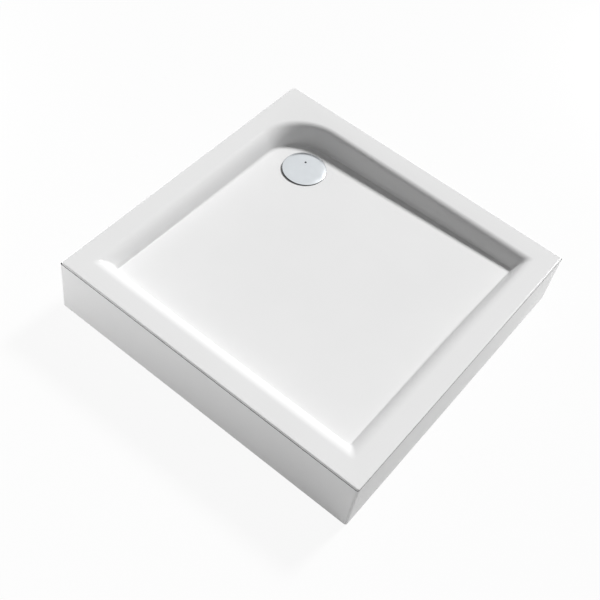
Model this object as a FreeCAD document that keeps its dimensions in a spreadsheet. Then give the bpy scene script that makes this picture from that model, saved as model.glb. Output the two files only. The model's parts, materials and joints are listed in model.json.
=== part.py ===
import FreeCAD, Part
import Sketcher
import math
import os

# Corner shower tray with a removable two-sided apron.
#
# Frame: millimetres, +Z up, origin on the floor below the middle of the square rim.
# Front is -Y and right is +X, the two sides with the apron. Back is +Y and left is -X,
# the two sides that stand against walls. The waste is in the back left corner.

DIMENSIONS = (
    # The rim and the basin that is formed in one sheet with it.
    ("side_length", 900, "outside of the square rim"),
    ("overall_height", 174, "floor to the top of the rim"),
    ("sheet_thickness", 4, "acrylic sheet"),
    ("backing_thickness", 3, "glassfibre laminate under the sheet"),
    ("free_corner_radius", 6, "plan radius of the rim corner where the apron turns"),
    ("wall_corner_radius", 16, "plan radius of the other three rim corners"),
    ("rim_edge_radius", 3, "rounding along the top outer edge of the rim"),
    ("rim_front", 50, "flat rim along the front"),
    ("rim_back", 47, "flat rim along the back"),
    ("rim_left", 50, "flat rim along the left"),
    ("rim_right", 50, "flat rim along the right"),
    ("slope_long", 50, "how far the front and back walls reach inwards"),
    ("slope_short", 28, "how far the left and right walls reach inwards"),
    ("wall_curve_depth", 64, "depth at which the walls turn upright"),
    ("basin_corner_radius", 10, "plan radius of three inner corners at the rim"),
    ("waste_corner_radius", 150, "plan radius of the inner corner at the waste, at the rim"),
    ("waste_corner_draw", 40, "how much smaller that radius is where the wall is upright"),
    ("basin_depth", 44, "rim to floor in the middle of the basin"),
    ("fall_across", 30, "fall of the floor towards the left, mm per metre"),
    ("fall_along", 17, "fall of the floor towards the back, mm per metre"),
    ("lip_height", 24, "down-turned lip on the two wall sides, from the rim top"),
    ("lip_inset", 3.5, "outer edge of the rim to the face of the lip"),
    ("backing_inset", 34, "outer edge of the rim to the edge of the laminate"),
    # The board under the floor and the feet.
    ("board_thickness", 16, "base board"),
    ("board_margin", 14, "edge of the board inside the upright wall"),
    ("board_waste_hole", 78, "radius of the cut-out in the board round the waste"),
    ("foot_inset", 160, "rim edge to the row of outer feet"),
    ("foot_offset", 40, "middle of the tray to the feet beside the waste"),
    ("socket_radius", 30, "flange of a foot socket"),
    ("socket_flange", 5, "thickness of that flange"),
    ("socket_hub_radius", 12, "hub of a foot socket"),
    ("socket_length", 38, "board to the end of the hub"),
    ("socket_rib_length", 24, "board to the toe of a rib"),
    ("socket_rib_width", 3, "thickness of a rib"),
    ("stud_radius", 6, "M12 levelling stud"),
    ("stud_clearance", 0.06, "stud in its socket, nut and pad, on the radius"),
    ("stud_top_gap", 4, "board to the top of the stud"),
    ("stud_flat_width", 10, "across the flats for the spanner"),
    ("stud_flat_length", 12, "length of the spanner flats"),
    ("nut_width", 19, "lock nut across flats"),
    ("nut_height", 7, "lock nut"),
    ("pad_radius", 24, "foot pad on the floor"),
    ("pad_height", 17, "foot pad"),
    ("pad_neck_radius", 12, "top of the foot pad"),
    ("pad_edge_height", 5, "upright edge of the foot pad"),
    ("pad_socket_depth", 11, "how deep the stud stands in the pad"),
    ("screw_radius", 2, "wood screws, shank"),
    ("screw_head_radius", 4, "wood screws, head"),
    ("screw_head_height", 2.6, "wood screws, head"),
    ("screw_grip", 12, "how far the wood screws enter the board"),
    ("screw_clearance", 0.05, "screws in their holes, on the radius"),
    ("socket_screw_circle", 22, "radius of the screw circle of a foot socket"),
    # The apron.
    ("apron_thickness", 3, "apron sheet"),
    ("apron_inset", 0.5, "face of the apron behind the edge of the rim"),
    ("apron_seam", 3, "gap between the rim and the apron"),
    ("apron_floor_gap", 3, "gap between the apron and the floor"),
    ("apron_return", 18, "inward returns at the top and the bottom of the apron"),
    ("apron_inner_radius", 3, "inside of the apron corner"),
    ("seal_width", 10, "foam strip in the seam"),
    ("seal_inset", 1, "face of the apron to the foam strip"),
    ("seat_gap", 0.3, "between pieces that rest on each other but move apart"),
    ("clip_spread", 230, "middle of the tray to an apron clip"),
    ("clip_width", 40, "length of a clip along the rim"),
    ("clip_reach", 15, "clip under the laminate, from the laminate's edge"),
    ("clip_thickness", 4, "clip base and tongue"),
    ("clip_tongue_start", 8, "edge of the rim to the end of the tongue"),
    ("stay_spread", 180, "middle of the tray to an apron stay"),
    ("stay_width", 30, "width of the stay strip"),
    ("stay_thickness", 2.5, "thickness of the stay strip"),
    ("stay_tab", 34, "length of the tab under the board"),
    ("stay_board_inset", 20, "edge of the board to the upright of the stay"),
    # The brackets that hold the rim to the walls.
    ("bracket_spread", 230, "middle of the tray to a wall bracket"),
    ("bracket_width", 50, "length of a wall bracket"),
    ("bracket_thickness", 2.5, "steel of a wall bracket"),
    ("bracket_drop", 62, "lip to the lower end of the wall plate"),
    ("bracket_hook", 9, "height of the hook behind the lip"),
    ("bracket_hole_radius", 2.75, "wall screw hole"),
    ("bracket_hole_spread", 30, "between the two wall screw holes"),
    ("bracket_hole_rise", 16, "lower end of the wall plate to the holes"),
    # The waste.
    ("waste_from_left", 197, "edge of the rim to the middle of the waste"),
    ("waste_from_back", 190, "edge of the rim to the middle of the waste"),
    ("dish_radius", 57, "level seat pressed into the floor round the waste"),
    ("dish_depth", 3.5, "floor to that seat, at the middle of the waste"),
    ("waste_hole_radius", 45, "hole in the tray"),
    ("gasket_thickness", 2, "rubber rings above and below the sheet"),
    ("flange_radius", 55, "clamping flange on top"),
    ("flange_thickness", 2, "clamping flange on top"),
    ("neck_radius", 42, "threaded neck of the clamping flange, outside"),
    ("neck_wall", 3, "wall of that neck"),
    ("neck_length", 30, "seat to the lower end of the neck"),
    ("shoulder_width", 8, "shoulder at the end of the neck that carries the cup"),
    ("trap_flange_radius", 57, "flange of the trap under the sheet"),
    ("trap_flange_thickness", 4, "flange of the trap under the sheet"),
    ("trap_wall", 3, "wall of the trap"),
    ("trap_radius", 52, "trap chamber, outside"),
    ("trap_depth", 90, "seat to the bottom of the trap"),
    ("trap_foot_chamfer", 6, "bevel round the bottom of the chamber"),
    ("collar_clearance", 0.1, "neck in the collar of the trap, on the radius"),
    ("collar_length", 26, "seat to the end of the threaded collar"),
    ("cup_flange", 2.5, "top ring of the water cup"),
    ("cup_wall", 2, "wall of the water cup"),
    ("cup_floor_gap", 6, "bottom of the water cup to the floor of the trap"),
    ("cup_window_top", 33, "seat to the top of the overflow windows"),
    ("cup_window_height", 11, "overflow windows of the water cup"),
    ("cup_window_width", 34, "overflow windows of the water cup"),
    ("dip_flange", 2, "top plate of the dip tube"),
    ("dip_radius", 22, "dip tube, outside"),
    ("dip_wall", 2, "wall of the dip tube"),
    ("dip_floor_gap", 7, "lower end of the dip tube to the bottom of the cup"),
    ("fit_clearance", 0.3, "lift-out pieces in their seats, on the radius"),
    ("strainer_radius", 37.5, "hair strainer"),
    ("strainer_height", 5, "hair strainer"),
    ("strainer_wall", 1.5, "plate of the strainer"),
    ("strainer_rim", 2.5, "foot ring of the strainer"),
    ("strainer_hole_radius", 2.6, "holes of the strainer"),
    ("strainer_inner_circle", 13, "radius of the inner circle of holes"),
    ("strainer_outer_circle", 23, "radius of the outer circle of holes"),
    ("strainer_grip_height", 9, "grip knob of the strainer"),
    ("strainer_grip_radius", 5, "grip knob of the strainer"),
    ("cover_radius", 61, "waste cover"),
    ("cover_thickness", 2, "plate of the cover"),
    ("cover_edge", 3.4, "height of the cover at its edge"),
    ("cover_rim", 2, "width of the turned-down edge"),
    ("cover_lift", 2.5, "floor to the lower edge of the cover, at the middle"),
    ("cover_round", 1.4, "rounding round the top of the cover"),
    ("cover_leg_circle", 32, "radius at which the legs of the cover stand"),
    ("cover_leg_radius", 2.5, "leg of the cover"),
    ("cover_hole_radius", 3, "small round opening in the cover"),
    ("cover_hole_left", 11, "middle of the cover to that opening, leftwards"),
    ("cover_hole_back", 19, "middle of the cover to that opening, backwards"),
    ("outlet_radius", 25, "outlet pipe, outside"),
    ("outlet_wall", 2.5, "wall of the outlet pipe"),
    ("outlet_axis_drop", 60, "seat to the axis of the outlet"),
    ("stub_length", 24, "trap chamber to the end of the outlet stub"),
    ("stub_wall", 3, "wall of the threaded stub"),
    ("union_length", 20, "union nut"),
    ("union_overlap", 12, "how far the union nut covers the stub"),
    ("union_wall", 4, "wall of the union nut"),
    ("union_lip", 3, "end lip of the union nut"),
    ("union_clearance", 0.1, "union nut on the stub, on the radius"),
    ("union_rib_radius", 1.5, "grip ribs round the union nut"),
    ("elbow_insert", 16, "how far the elbow enters the stub"),
    ("elbow_lead", 8, "union to the bend"),
    ("elbow_bend", 34, "radius of the bend, on its axis"),
    ("elbow_angle", 45, "degrees of the bend"),
    ("elbow_tail", 30, "straight pipe after the bend"),
)

SHEET = "dims"
FOOT_RIBS = 4
SOCKET_SCREWS = 3
INNER_HOLES = 6
OUTER_HOLES = 12
COVER_LEGS = 3
UNION_RIBS = 12
SECTION_ANGLES = (0, 12, 26, 42, 58, 74, 90)


class Size:
    """A length of the model: its number now, and the sheet formula that gives it."""

    def __init__(self, value, formula):
        self.value = float(value)
        self.formula = formula

    def joined(self, sign, other, value):
        return Size(value, f"({self.formula} {sign} {size(other).formula})")

    def __add__(self, other):
        return self.joined("+", other, self.value + size(other).value)

    def __sub__(self, other):
        return self.joined("-", other, self.value - size(other).value)

    def __mul__(self, other):
        return self.joined("*", other, self.value * size(other).value)

    def __truediv__(self, other):
        return self.joined("/", other, self.value / size(other).value)

    def __neg__(self):
        return self * -1


def size(value):
    """Any number as a Size."""
    if isinstance(value, Size):
        return value
    return Size(value, repr(round(float(value), 9)))


class Dimensions:
    """The cells of the sheet as Sizes, by alias."""


document = FreeCAD.newDocument("shower_tray")
sheet = document.addObject("Spreadsheet::Sheet", SHEET)
dim = Dimensions()
for row, (alias, number, meaning) in enumerate(DIMENSIONS, 1):
    sheet.set(f"A{row}", meaning)
    sheet.set(f"B{row}", str(number))
    sheet.setAlias(f"B{row}", alias)
    setattr(dim, alias, Size(number, f"{SHEET}.{alias}"))
document.recompute()

nodes = []


# Helpers that bind sizes to the sheet.


def drive(target, path, length):
    """Binds one property or constraint of target to a size."""
    target.setExpression(path, size(length).formula)


def move(target, x=0, y=0, z=0):
    """Binds the place of target to three sizes."""
    drive(target, ".Placement.Base.x", x)
    drive(target, ".Placement.Base.y", y)
    drive(target, ".Placement.Base.z", z)
    return target


def turn(target, axis, degrees):
    """Turns target about its own origin."""
    target.Placement = FreeCAD.Placement(target.Placement.Base, FreeCAD.Rotation(axis, degrees))
    return target


def node(target, label):
    """Marks target as a piece of the tray."""
    target.Label = label
    nodes.append(target)
    return target


def block(name, low, high):
    """A box between two corners."""
    solid = document.addObject("Part::Box", name)
    for path, bottom, top in zip(("Length", "Width", "Height"), low, high):
        drive(solid, path, size(top) - bottom)
    return move(solid, *low)


def rod(name, radius, low, high, x=0, y=0):
    """An upright cylinder from low to high."""
    solid = document.addObject("Part::Cylinder", name)
    drive(solid, "Radius", radius)
    drive(solid, "Height", size(high) - low)
    return move(solid, x, y, low)


def joined(name, *pieces):
    """Several solids as one."""
    solid = document.addObject("Part::MultiFuse", name)
    solid.Shapes = list(pieces)
    solid.Refine = False
    return solid


def without(name, base, *tools):
    """A solid less one or more others."""
    solid = document.addObject("Part::Cut", name)
    solid.Base = base
    solid.Tool = tools[0] if len(tools) == 1 else joined(name + "_tools", *tools)
    solid.Refine = False
    return solid


def new_body(name):
    return document.addObject("PartDesign::Body", name)


def origin_part(body, role):
    """A plane or axis of the body's own origin."""
    return next(f for f in body.Origin.OriginFeatures if f.Role == role)


def polygon(body, name, role, points, rise=None):
    """A closed sketch on an origin plane, every corner bound to a pair of sizes."""
    sketch = body.newObject("Sketcher::SketchObject", name)
    sketch.AttachmentSupport = [(origin_part(body, role), "")]
    sketch.MapMode = "FlatFace"
    if rise is not None:
        drive(sketch, ".AttachmentOffset.Base.z", rise)
    corners = [FreeCAD.Vector(size(x).value, size(y).value, 0) for x, y in points]
    count = len(corners)
    for index in range(count):
        line = Part.LineSegment(corners[index], corners[(index + 1) % count])
        sketch.addGeometry(line, False)
    for index in range(count):
        following = (index + 1) % count
        sketch.addConstraint(Sketcher.Constraint("Coincident", index, 2, following, 1))
    for index, corner in enumerate(points):
        for kind, length in zip(("DistanceX", "DistanceY"), corner):
            number = size(length).value
            place = sketch.addConstraint(Sketcher.Constraint(kind, -1, 1, index, 1, number))
            drive(sketch, f"Constraints[{place}]", length)
    return sketch


def padded(body, sketch, height, backwards=False):
    """A sketch raised to a solid."""
    pad = body.newObject("PartDesign::Pad", sketch.Name + "_pad")
    pad.Profile = sketch
    drive(pad, "Length", height)
    pad.Reversed = backwards
    return pad


def turned(name, points, x, y, z=0):
    """A body turned about an upright axis from a profile of (radius, height) pairs."""
    body = new_body(name)
    sketch = polygon(body, name + "_profile", "XZ_Plane", points)
    revolution = body.newObject("PartDesign::Revolution", name + "_revolution")
    revolution.Profile = sketch
    revolution.ReferenceAxis = (sketch, ["V_Axis"])
    revolution.Angle = 360
    return move(body, x, y, z)


def rounded(body, name, radius, chosen):
    """Rounds the edges of the body's last feature that chosen() accepts."""
    document.recompute()
    last = body.Tip
    edges = [f"Edge{i}" for i, edge in enumerate(last.Shape.Edges, 1) if chosen(edge)]
    if not edges:
        raise ValueError(f"{name}: no edge to round")
    fillet = body.newObject("PartDesign::Fillet", name)
    fillet.Base = (last, edges)
    drive(fillet, "Radius", radius)
    return fillet


def at(point, x, y, slack=0.01):
    return abs(point.x - x) < slack and abs(point.y - y) < slack


# The lines that the pieces share.

edge = dim.side_length / 2
rim_top = dim.overall_height
rim_under = rim_top - dim.sheet_thickness
backing_under = rim_under - dim.backing_thickness
skin = dim.sheet_thickness + dim.backing_thickness
waste_x = dim.waste_from_left - edge
waste_y = edge - dim.waste_from_back


def floor_at(x, y):
    """Height of the basin floor above the ground at one place."""
    fall = (dim.fall_along * y - dim.fall_across * x) / 1000
    return rim_top - dim.basin_depth - fall


def board_under(x, y):
    """Height of the underside of the base board at one place."""
    return floor_at(x, y) - skin - dim.board_thickness


# The basin. Every surface of it is the same form: the walls curve down from the flat rim as a
# quarter of an ellipse, and the floor is one plane that falls to the waste. A layer deeper in
# the thickness of the tray has the same ellipses with shorter axes, about the same centres.


def basin_section(angle, depth_in):
    """Closed outline of the wall at one angle of the ellipse, depth_in below the top surface."""
    reach = math.sin(math.radians(angle))
    drop = math.cos(math.radians(angle))
    half = edge.value
    curve = dim.wall_curve_depth.value
    left = dim.rim_left.value + (dim.slope_short.value - depth_in) * reach - half
    right = half - dim.rim_right.value - (dim.slope_short.value - depth_in) * reach
    front = dim.rim_front.value + (dim.slope_long.value - depth_in) * reach - half
    back = half - dim.rim_back.value - (dim.slope_long.value - depth_in) * reach
    height = rim_top.value - curve + (curve - depth_in) * drop
    small = dim.basin_corner_radius.value + depth_in * reach
    large = dim.waste_corner_radius.value - dim.waste_corner_draw.value * reach + depth_in * reach
    corners = (
        (left, front, small, 180),
        (right, front, small, 270),
        (right, back, small, 0),
        (left, back, large, 90),
    )
    arcs = []
    for x, y, radius, start in corners:
        centre_x = x + radius if x < 0 else x - radius
        centre_y = y + radius if y < 0 else y - radius
        stations = []
        for step in (0, 45, 90):
            turn_to = math.radians(start + step)
            stations.append(FreeCAD.Vector(
                centre_x + radius * math.cos(turn_to),
                centre_y + radius * math.sin(turn_to),
                height,
            ))
        arcs.append(stations)
    edges = []
    for index, stations in enumerate(arcs):
        edges.append(Part.Arc(*stations).toShape())
        edges.append(Part.LineSegment(stations[2], arcs[(index + 1) % 4][0]).toShape())
    return Part.Wire(edges)


def under_floor(depth_in, reach):
    """Everything below the plane of the floor, that plane lowered by depth_in."""
    corners = []
    for x, y in ((-reach, -reach), (reach, -reach), (reach, reach), (-reach, reach)):
        corners.append(FreeCAD.Vector(x, y, floor_at(x, y).value - depth_in))
    plane = Part.Face(Part.makePolygon(corners + corners[:1]))
    return plane.extrude(FreeCAD.Vector(0, 0, -rim_top.value))


def basin_room(name, depth_in):
    """The hollow of the basin, grown outwards and down by depth_in."""
    walls = Part.makeLoft([basin_section(angle, depth_in) for angle in SECTION_ANGLES], True, False)
    solid = document.addObject("Part::Feature", name)
    solid.Shape = walls.cut(under_floor(depth_in, edge.value))
    return solid


sheet_depth = dim.sheet_thickness.value
skin_depth = skin.value
basin = basin_room("basin", 0)
basin_in_sheet = basin_room("basin_in_sheet", sheet_depth)
basin_in_backing = basin_room("basin_in_backing", skin_depth)


# The level seat for the waste, pressed into the sloping floor.

waste_floor = floor_at(waste_x, waste_y)
seat = waste_floor - dim.dish_depth
dish_outer = dim.dish_radius + dim.sheet_thickness
dish_body = rod("dish_body", dish_outer, seat - dim.sheet_thickness, waste_floor, waste_x, waste_y)
dish_room = rod("dish_room", dim.dish_radius, seat, rim_top, waste_x, waste_y)
dish_hole = rod("dish_hole", dim.waste_hole_radius, 0, rim_top, waste_x, waste_y)


# The tray itself: rim, walls and floor in one formed sheet, with a lip along the walls.

rim = new_body("rim")
rim_outline = polygon(
    rim, "rim_outline", "XY_Plane", ((-edge, -edge), (edge, -edge), (edge, edge), (-edge, edge))
)
padded(rim, rim_outline, dim.sheet_thickness)
move(rim, z=rim_under)


def is_upright(item):
    return item.BoundBox.ZLength > 1 and item.BoundBox.XLength + item.BoundBox.YLength < 0.01


def at_free_corner(item):
    return is_upright(item) and at(item.Vertexes[0].Point, edge.value, -edge.value)


def at_wall_corner(item):
    return is_upright(item) and not at_free_corner(item) and any(
        at(item.Vertexes[0].Point, x * edge.value, y * edge.value)
        for x, y in ((-1, -1), (1, 1), (-1, 1))
    )


def along_top(item):
    box = item.BoundBox
    return box.ZLength < 0.001 and abs(box.ZMin - dim.sheet_thickness.value) < 0.001


rounded(rim, "rim_free_corner", dim.free_corner_radius, at_free_corner)
rounded(rim, "rim_wall_corners", dim.wall_corner_radius, at_wall_corner)
rounded(rim, "rim_edge", dim.rim_edge_radius, along_top)

lip = new_body("lip")
lip_out = dim.lip_inset - edge
lip_in = lip_out + dim.sheet_thickness
lip_end = dim.wall_corner_radius + dim.apron_return + dim.lip_inset - edge
lip_outline = polygon(lip, "lip_outline", "XY_Plane", (
    (lip_out, lip_end),
    (lip_in, lip_end),
    (lip_in, -lip_in),
    (-lip_end, -lip_in),
    (-lip_end, -lip_out),
    (lip_out, -lip_out),
))
padded(lip, lip_outline, dim.lip_height - dim.sheet_thickness)
move(lip, z=rim_top - dim.lip_height)
lip_bottom = rim_top - dim.lip_height


def at_lip_corner(item):
    return is_upright(item) and at(item.Vertexes[0].Point, lip_out.value, -lip_out.value)


rounded(lip, "lip_corner", dim.wall_corner_radius - dim.lip_inset, at_lip_corner)

tray_blank = joined("tray_blank", rim, lip, basin_in_sheet, dish_body)
node(without("tray_shell", tray_blank, basin, dish_room, dish_hole), "tray_shell")


# The laminate behind the sheet, open round the waste so that the trap clamps on the sheet.

backing_edge = edge - dim.backing_inset
wall_side_edge = -(lip_in + dim.seat_gap)
backing_plate = block(
    "backing_plate",
    (-wall_side_edge, -backing_edge, backing_under),
    (backing_edge, wall_side_edge, rim_under),
)
backing_rim = without("backing_rim", backing_plate, basin_in_sheet)
backing_wall = without("backing_wall", basin_in_backing, basin_in_sheet)
backing_blank = joined("backing_blank", backing_rim, backing_wall)
backing_waste_hole = rod(
    "backing_waste_hole", dish_outer + dim.seat_gap, 0, rim_top, waste_x, waste_y
)

socket_screws = []


# A wood screw: its head against the underside of what it holds, its shank upwards.


def screw(name, x, y, height, grip):
    return turned(name, (
        (0, -dim.screw_head_height),
        (dim.screw_head_radius / 2, -dim.screw_head_height),
        (dim.screw_head_radius, -dim.screw_head_height / 2),
        (dim.screw_head_radius, 0),
        (dim.screw_radius, 0),
        (dim.screw_radius, grip - dim.screw_radius),
        (0, grip),
    ), x, y, height)


def screw_hole(name, x, y, low, high):
    return rod(name, dim.screw_radius + dim.screw_clearance, low, high, x, y)


# The base board, level with the floor of the basin and bonded to the laminate.

board_left = dim.rim_left + dim.slope_short + dim.board_margin - edge
board_right = edge - dim.rim_right - dim.slope_short - dim.board_margin
board_front = dim.rim_front + dim.slope_long + dim.board_margin - edge
board_back = edge - dim.rim_back - dim.slope_long - dim.board_margin


def tilted_layer(name, top_depth, bottom_depth):
    """A plate parallel to the floor, between two depths under it, over the board's outline."""
    corners = []
    for x, y in (
        (board_left, board_front),
        (board_right, board_front),
        (board_right, board_back),
        (board_left, board_back),
    ):
        corners.append(FreeCAD.Vector(x.value, y.value, floor_at(x, y).value - top_depth))
    plane = Part.Face(Part.makePolygon(corners + corners[:1]))
    solid = document.addObject("Part::Feature", name)
    solid.Shape = plane.extrude(FreeCAD.Vector(0, 0, top_depth - bottom_depth))
    return solid


board_depth = skin_depth + dim.board_thickness.value
board_blank = tilted_layer("board_blank", skin_depth, board_depth)
board_opening = rod("board_opening", dim.board_waste_hole, 0, rim_top, waste_x, waste_y)
board_holes = [board_opening]


# Feet. Two of the six stand either side of the waste instead of in its corner.

foot_spread = edge - dim.foot_inset
FEET = (
    ("front_left", -foot_spread, -foot_spread),
    ("front_right", foot_spread, -foot_spread),
    ("back_right", foot_spread, foot_spread),
    ("left", -foot_spread, dim.foot_offset),
    ("back", -dim.foot_offset, foot_spread),
    ("centre", size(0), size(0)),
)
stud_hole = dim.stud_radius + dim.stud_clearance


def board_cutter(name):
    """The space from the underside of the board up, which trims what is screwed to it."""
    return tilted_layer(name, 0, board_depth)


def foot_socket(place, x, y):
    """Moulded socket under the board: flange, ribbed hub and bore for the stud."""
    under = board_under(x, y)
    top = under + dim.screw_grip
    profile = (
        (stud_hole, -dim.socket_length),
        (dim.socket_hub_radius, -dim.socket_length),
        (dim.socket_hub_radius, -dim.socket_flange),
        (dim.socket_radius, -dim.socket_flange),
        (dim.socket_radius, dim.socket_flange),
        (stud_hole, dim.socket_flange),
    )
    blank = turned(f"socket_{place}_blank", profile, x, y, under)
    rib = new_body(f"socket_{place}_rib")
    half = dim.socket_rib_width / 2
    outline = polygon(rib, f"socket_{place}_rib_outline", "XZ_Plane", (
        (dim.socket_hub_radius - 1, -dim.socket_rib_length),
        (dim.socket_hub_radius + 1, -dim.socket_rib_length),
        (dim.socket_radius - 1, -dim.socket_flange),
        (dim.socket_hub_radius - 1, -dim.socket_flange),
    ), -half)
    pad = padded(rib, outline, dim.socket_rib_width)
    document.recompute()
    pattern = rib.newObject("PartDesign::PolarPattern", f"socket_{place}_ribs")
    pattern.Originals = [pad]
    pattern.Axis = (origin_part(rib, "Z_Axis"), [""])
    pattern.Angle = 360
    pattern.Occurrences = FOOT_RIBS
    rib.Tip = pattern
    move(rib, x, y, under)
    holes = []
    for index in range(SOCKET_SCREWS):
        bearing = math.radians(360 * index / SOCKET_SCREWS + 45)
        hole_x = x + dim.socket_screw_circle * math.cos(bearing)
        hole_y = y + dim.socket_screw_circle * math.sin(bearing)
        head = under - dim.socket_flange
        mark = f"{place}_{index + 1}"
        holes.append(screw_hole(f"socket_{mark}_hole", hole_x, hole_y, head - 1, top))
        socket_screws.append(screw(f"socket_{mark}_screw", hole_x, hole_y, head, dim.screw_grip))
        board_holes.append(screw_hole(f"board_{mark}_hole", hole_x, hole_y, under - 5, top))
    solid = joined(f"socket_{place}_solid", blank, rib)
    trim = board_cutter(f"socket_{place}_trim")
    node(without(f"foot_socket_{place}", solid, trim, *holes), f"foot_socket_{place}")


def hexagon(width):
    """Corners of a hexagon of the given width across flats."""
    radius = width / math.sqrt(3)
    return [
        (radius * math.cos(math.radians(60 * k)), radius * math.sin(math.radians(60 * k)))
        for k in range(6)
    ]


def foot_nut(place, x, y):
    """Lock nut, hard up under the socket."""
    top = board_under(x, y) - dim.socket_length
    bottom = top - dim.nut_height
    body = new_body(f"nut_{place}_body")
    outline = polygon(body, f"nut_{place}_outline", "XY_Plane", hexagon(dim.nut_width))
    padded(body, outline, dim.nut_height)
    move(body, x, y, bottom)
    bore = rod(f"nut_{place}_bore", stud_hole, bottom - 1, top + 1, x, y)
    node(without(f"foot_nut_{place}", body, bore), f"foot_nut_{place}")


def foot_stud(place, x, y):
    """Levelling stud with a chamfered top and two spanner flats above the pad."""
    top = board_under(x, y) - dim.stud_top_gap
    bottom = dim.pad_height - dim.pad_socket_depth
    radius = dim.stud_radius
    shank = turned(f"stud_{place}_shank", (
        (0, bottom),
        (radius - 1, bottom),
        (radius, bottom + 1),
        (radius, top - 1),
        (radius - 1, top),
        (0, top),
    ), x, y)
    flat_low = dim.pad_height + 2
    flat_high = flat_low + dim.stud_flat_length
    flats = []
    for side in (-1, 1):
        near = x + dim.stud_flat_width / 2 * side
        far = x + dim.stud_radius * 2 * side
        low_x, high_x = (near, far) if side > 0 else (far, near)
        flats.append(block(
            f"stud_{place}_flat_{'right' if side > 0 else 'left'}",
            (low_x, y - dim.stud_radius * 2, flat_low),
            (high_x, y + dim.stud_radius * 2, flat_high),
        ))
    node(without(f"foot_stud_{place}", shank, *flats), f"foot_stud_{place}")


def foot_pad(place, x, y):
    """Round pad on the floor that the stud turns in."""
    bottom = dim.pad_height - dim.pad_socket_depth
    node(turned(f"foot_pad_{place}", (
        (0, 0),
        (dim.pad_radius - 1, 0),
        (dim.pad_radius, 1),
        (dim.pad_radius, dim.pad_edge_height),
        (dim.pad_neck_radius + 3, dim.pad_height - 3),
        (dim.pad_neck_radius, dim.pad_height),
        (stud_hole, dim.pad_height),
        (stud_hole, bottom),
        (0, bottom),
    ), x, y), f"foot_pad_{place}")


for place, x, y in FEET:
    foot_socket(place, x, y)
    foot_nut(place, x, y)
    foot_stud(place, x, y)
    foot_pad(place, x, y)
node(joined("foot_socket_screws", *socket_screws), "foot_socket_screws")


# The apron: one sheet round the free corner, with returns along its top, bottom and ends.

apron_face = edge - dim.apron_inset
apron_back = apron_face - dim.apron_thickness
apron_reach = apron_back - dim.apron_return
apron_top = rim_under - dim.apron_seam
apron_height = apron_top - dim.apron_floor_gap


def corner_strip(outer, inner):
    """Outline of a strip along the front and the right, between two distances from the middle."""
    return (
        (-outer, -outer), (outer, -outer), (outer, outer),
        (inner, outer), (inner, -inner), (-outer, -inner),
    )


apron = new_body("apron")
wall_outline = polygon(
    apron, "apron_wall_outline", "XY_Plane", corner_strip(apron_face, apron_back)
)
padded(apron, wall_outline, apron_height)


def at_apron_bend(reach):
    def chosen(item):
        return is_upright(item) and at(item.Vertexes[0].Point, reach.value, -reach.value)
    return chosen


rounded(apron, "apron_bend", dim.free_corner_radius, at_apron_bend(apron_face))
rounded(apron, "apron_bend_inside", dim.apron_inner_radius, at_apron_bend(apron_back))
return_outline = (
    (-apron_face, -apron_back), (apron_back, -apron_back), (apron_back, apron_face),
    (apron_reach, apron_face), (apron_reach, -apron_reach), (-apron_face, -apron_reach),
)
for level, rise in (("bottom", None), ("top", apron_height - dim.apron_thickness)):
    outline = polygon(apron, f"apron_{level}_outline", "XY_Plane", return_outline, rise)
    padded(apron, outline, dim.apron_thickness)
left_end = polygon(apron, "apron_left_end", "XY_Plane", (
    (-apron_face, -apron_back), (-apron_back, -apron_back),
    (-apron_back, -apron_reach), (-apron_face, -apron_reach),
))
padded(apron, left_end, apron_height)
back_end = polygon(apron, "apron_back_end", "XY_Plane", (
    (apron_reach, apron_back), (apron_back, apron_back),
    (apron_back, apron_face), (apron_reach, apron_face),
))
padded(apron, back_end, apron_height)
node(move(apron, z=dim.apron_floor_gap), "apron_panel")

seal = new_body("seal")
seal_out = apron_face - dim.seal_inset
seal_outline = polygon(
    seal, "seal_outline", "XY_Plane", corner_strip(seal_out, seal_out - dim.seal_width)
)
padded(seal, seal_outline, dim.apron_seam - dim.seat_gap)
node(move(seal, z=apron_top), "apron_seal_strip")


# Strips of constant section across the rim. A section is drawn as pairs: distance inwards
# from the edge of the rim, and height above the floor.

SIDES = {
    "front": ("YZ_Plane", -1),
    "back": ("YZ_Plane", 1),
    "left": ("XZ_Plane", -1),
    "right": ("XZ_Plane", 1),
}


def side_place(side, inwards, along):
    """Place in the tray of a point given from one side's edge and its middle."""
    plane, sign = SIDES[side]
    across = (edge - inwards) * sign
    return (along, across) if plane == "YZ_Plane" else (across, along)


def side_strip(name, side, section, width, along):
    """A strip of that section, centred at one distance along a side."""
    plane, sign = SIDES[side]
    body = new_body(name)
    points = [((edge - inwards) * sign, height) for inwards, height in section]
    outline = polygon(body, name + "_section", plane, points, -width / 2)
    padded(body, outline, width)
    if plane == "YZ_Plane":
        return move(body, x=along)
    return move(body, y=along)


# Clips under the rim that hold the top return of the apron.

clip_tongue_top = apron_top - dim.apron_thickness - dim.seat_gap
clip_base = backing_under - dim.clip_thickness
clip_start = size(0) + dim.backing_inset
clip_end = clip_start + dim.clip_reach
clip_section = (
    (clip_start, backing_under),
    (clip_end, backing_under),
    (clip_end, clip_base),
    (clip_start + dim.clip_thickness, clip_base),
    (clip_start + dim.clip_thickness, clip_tongue_top - dim.clip_thickness),
    (dim.clip_tongue_start, clip_tongue_top - dim.clip_thickness),
    (dim.clip_tongue_start, clip_tongue_top),
    (clip_start, clip_tongue_top),
)
clip_screws = []
backing_holes = [backing_waste_hole]
SIDE_PAIRS = (("front", "left", -1), ("front", "right", 1), ("right", "front", -1), ("right", "back", 1))


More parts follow.
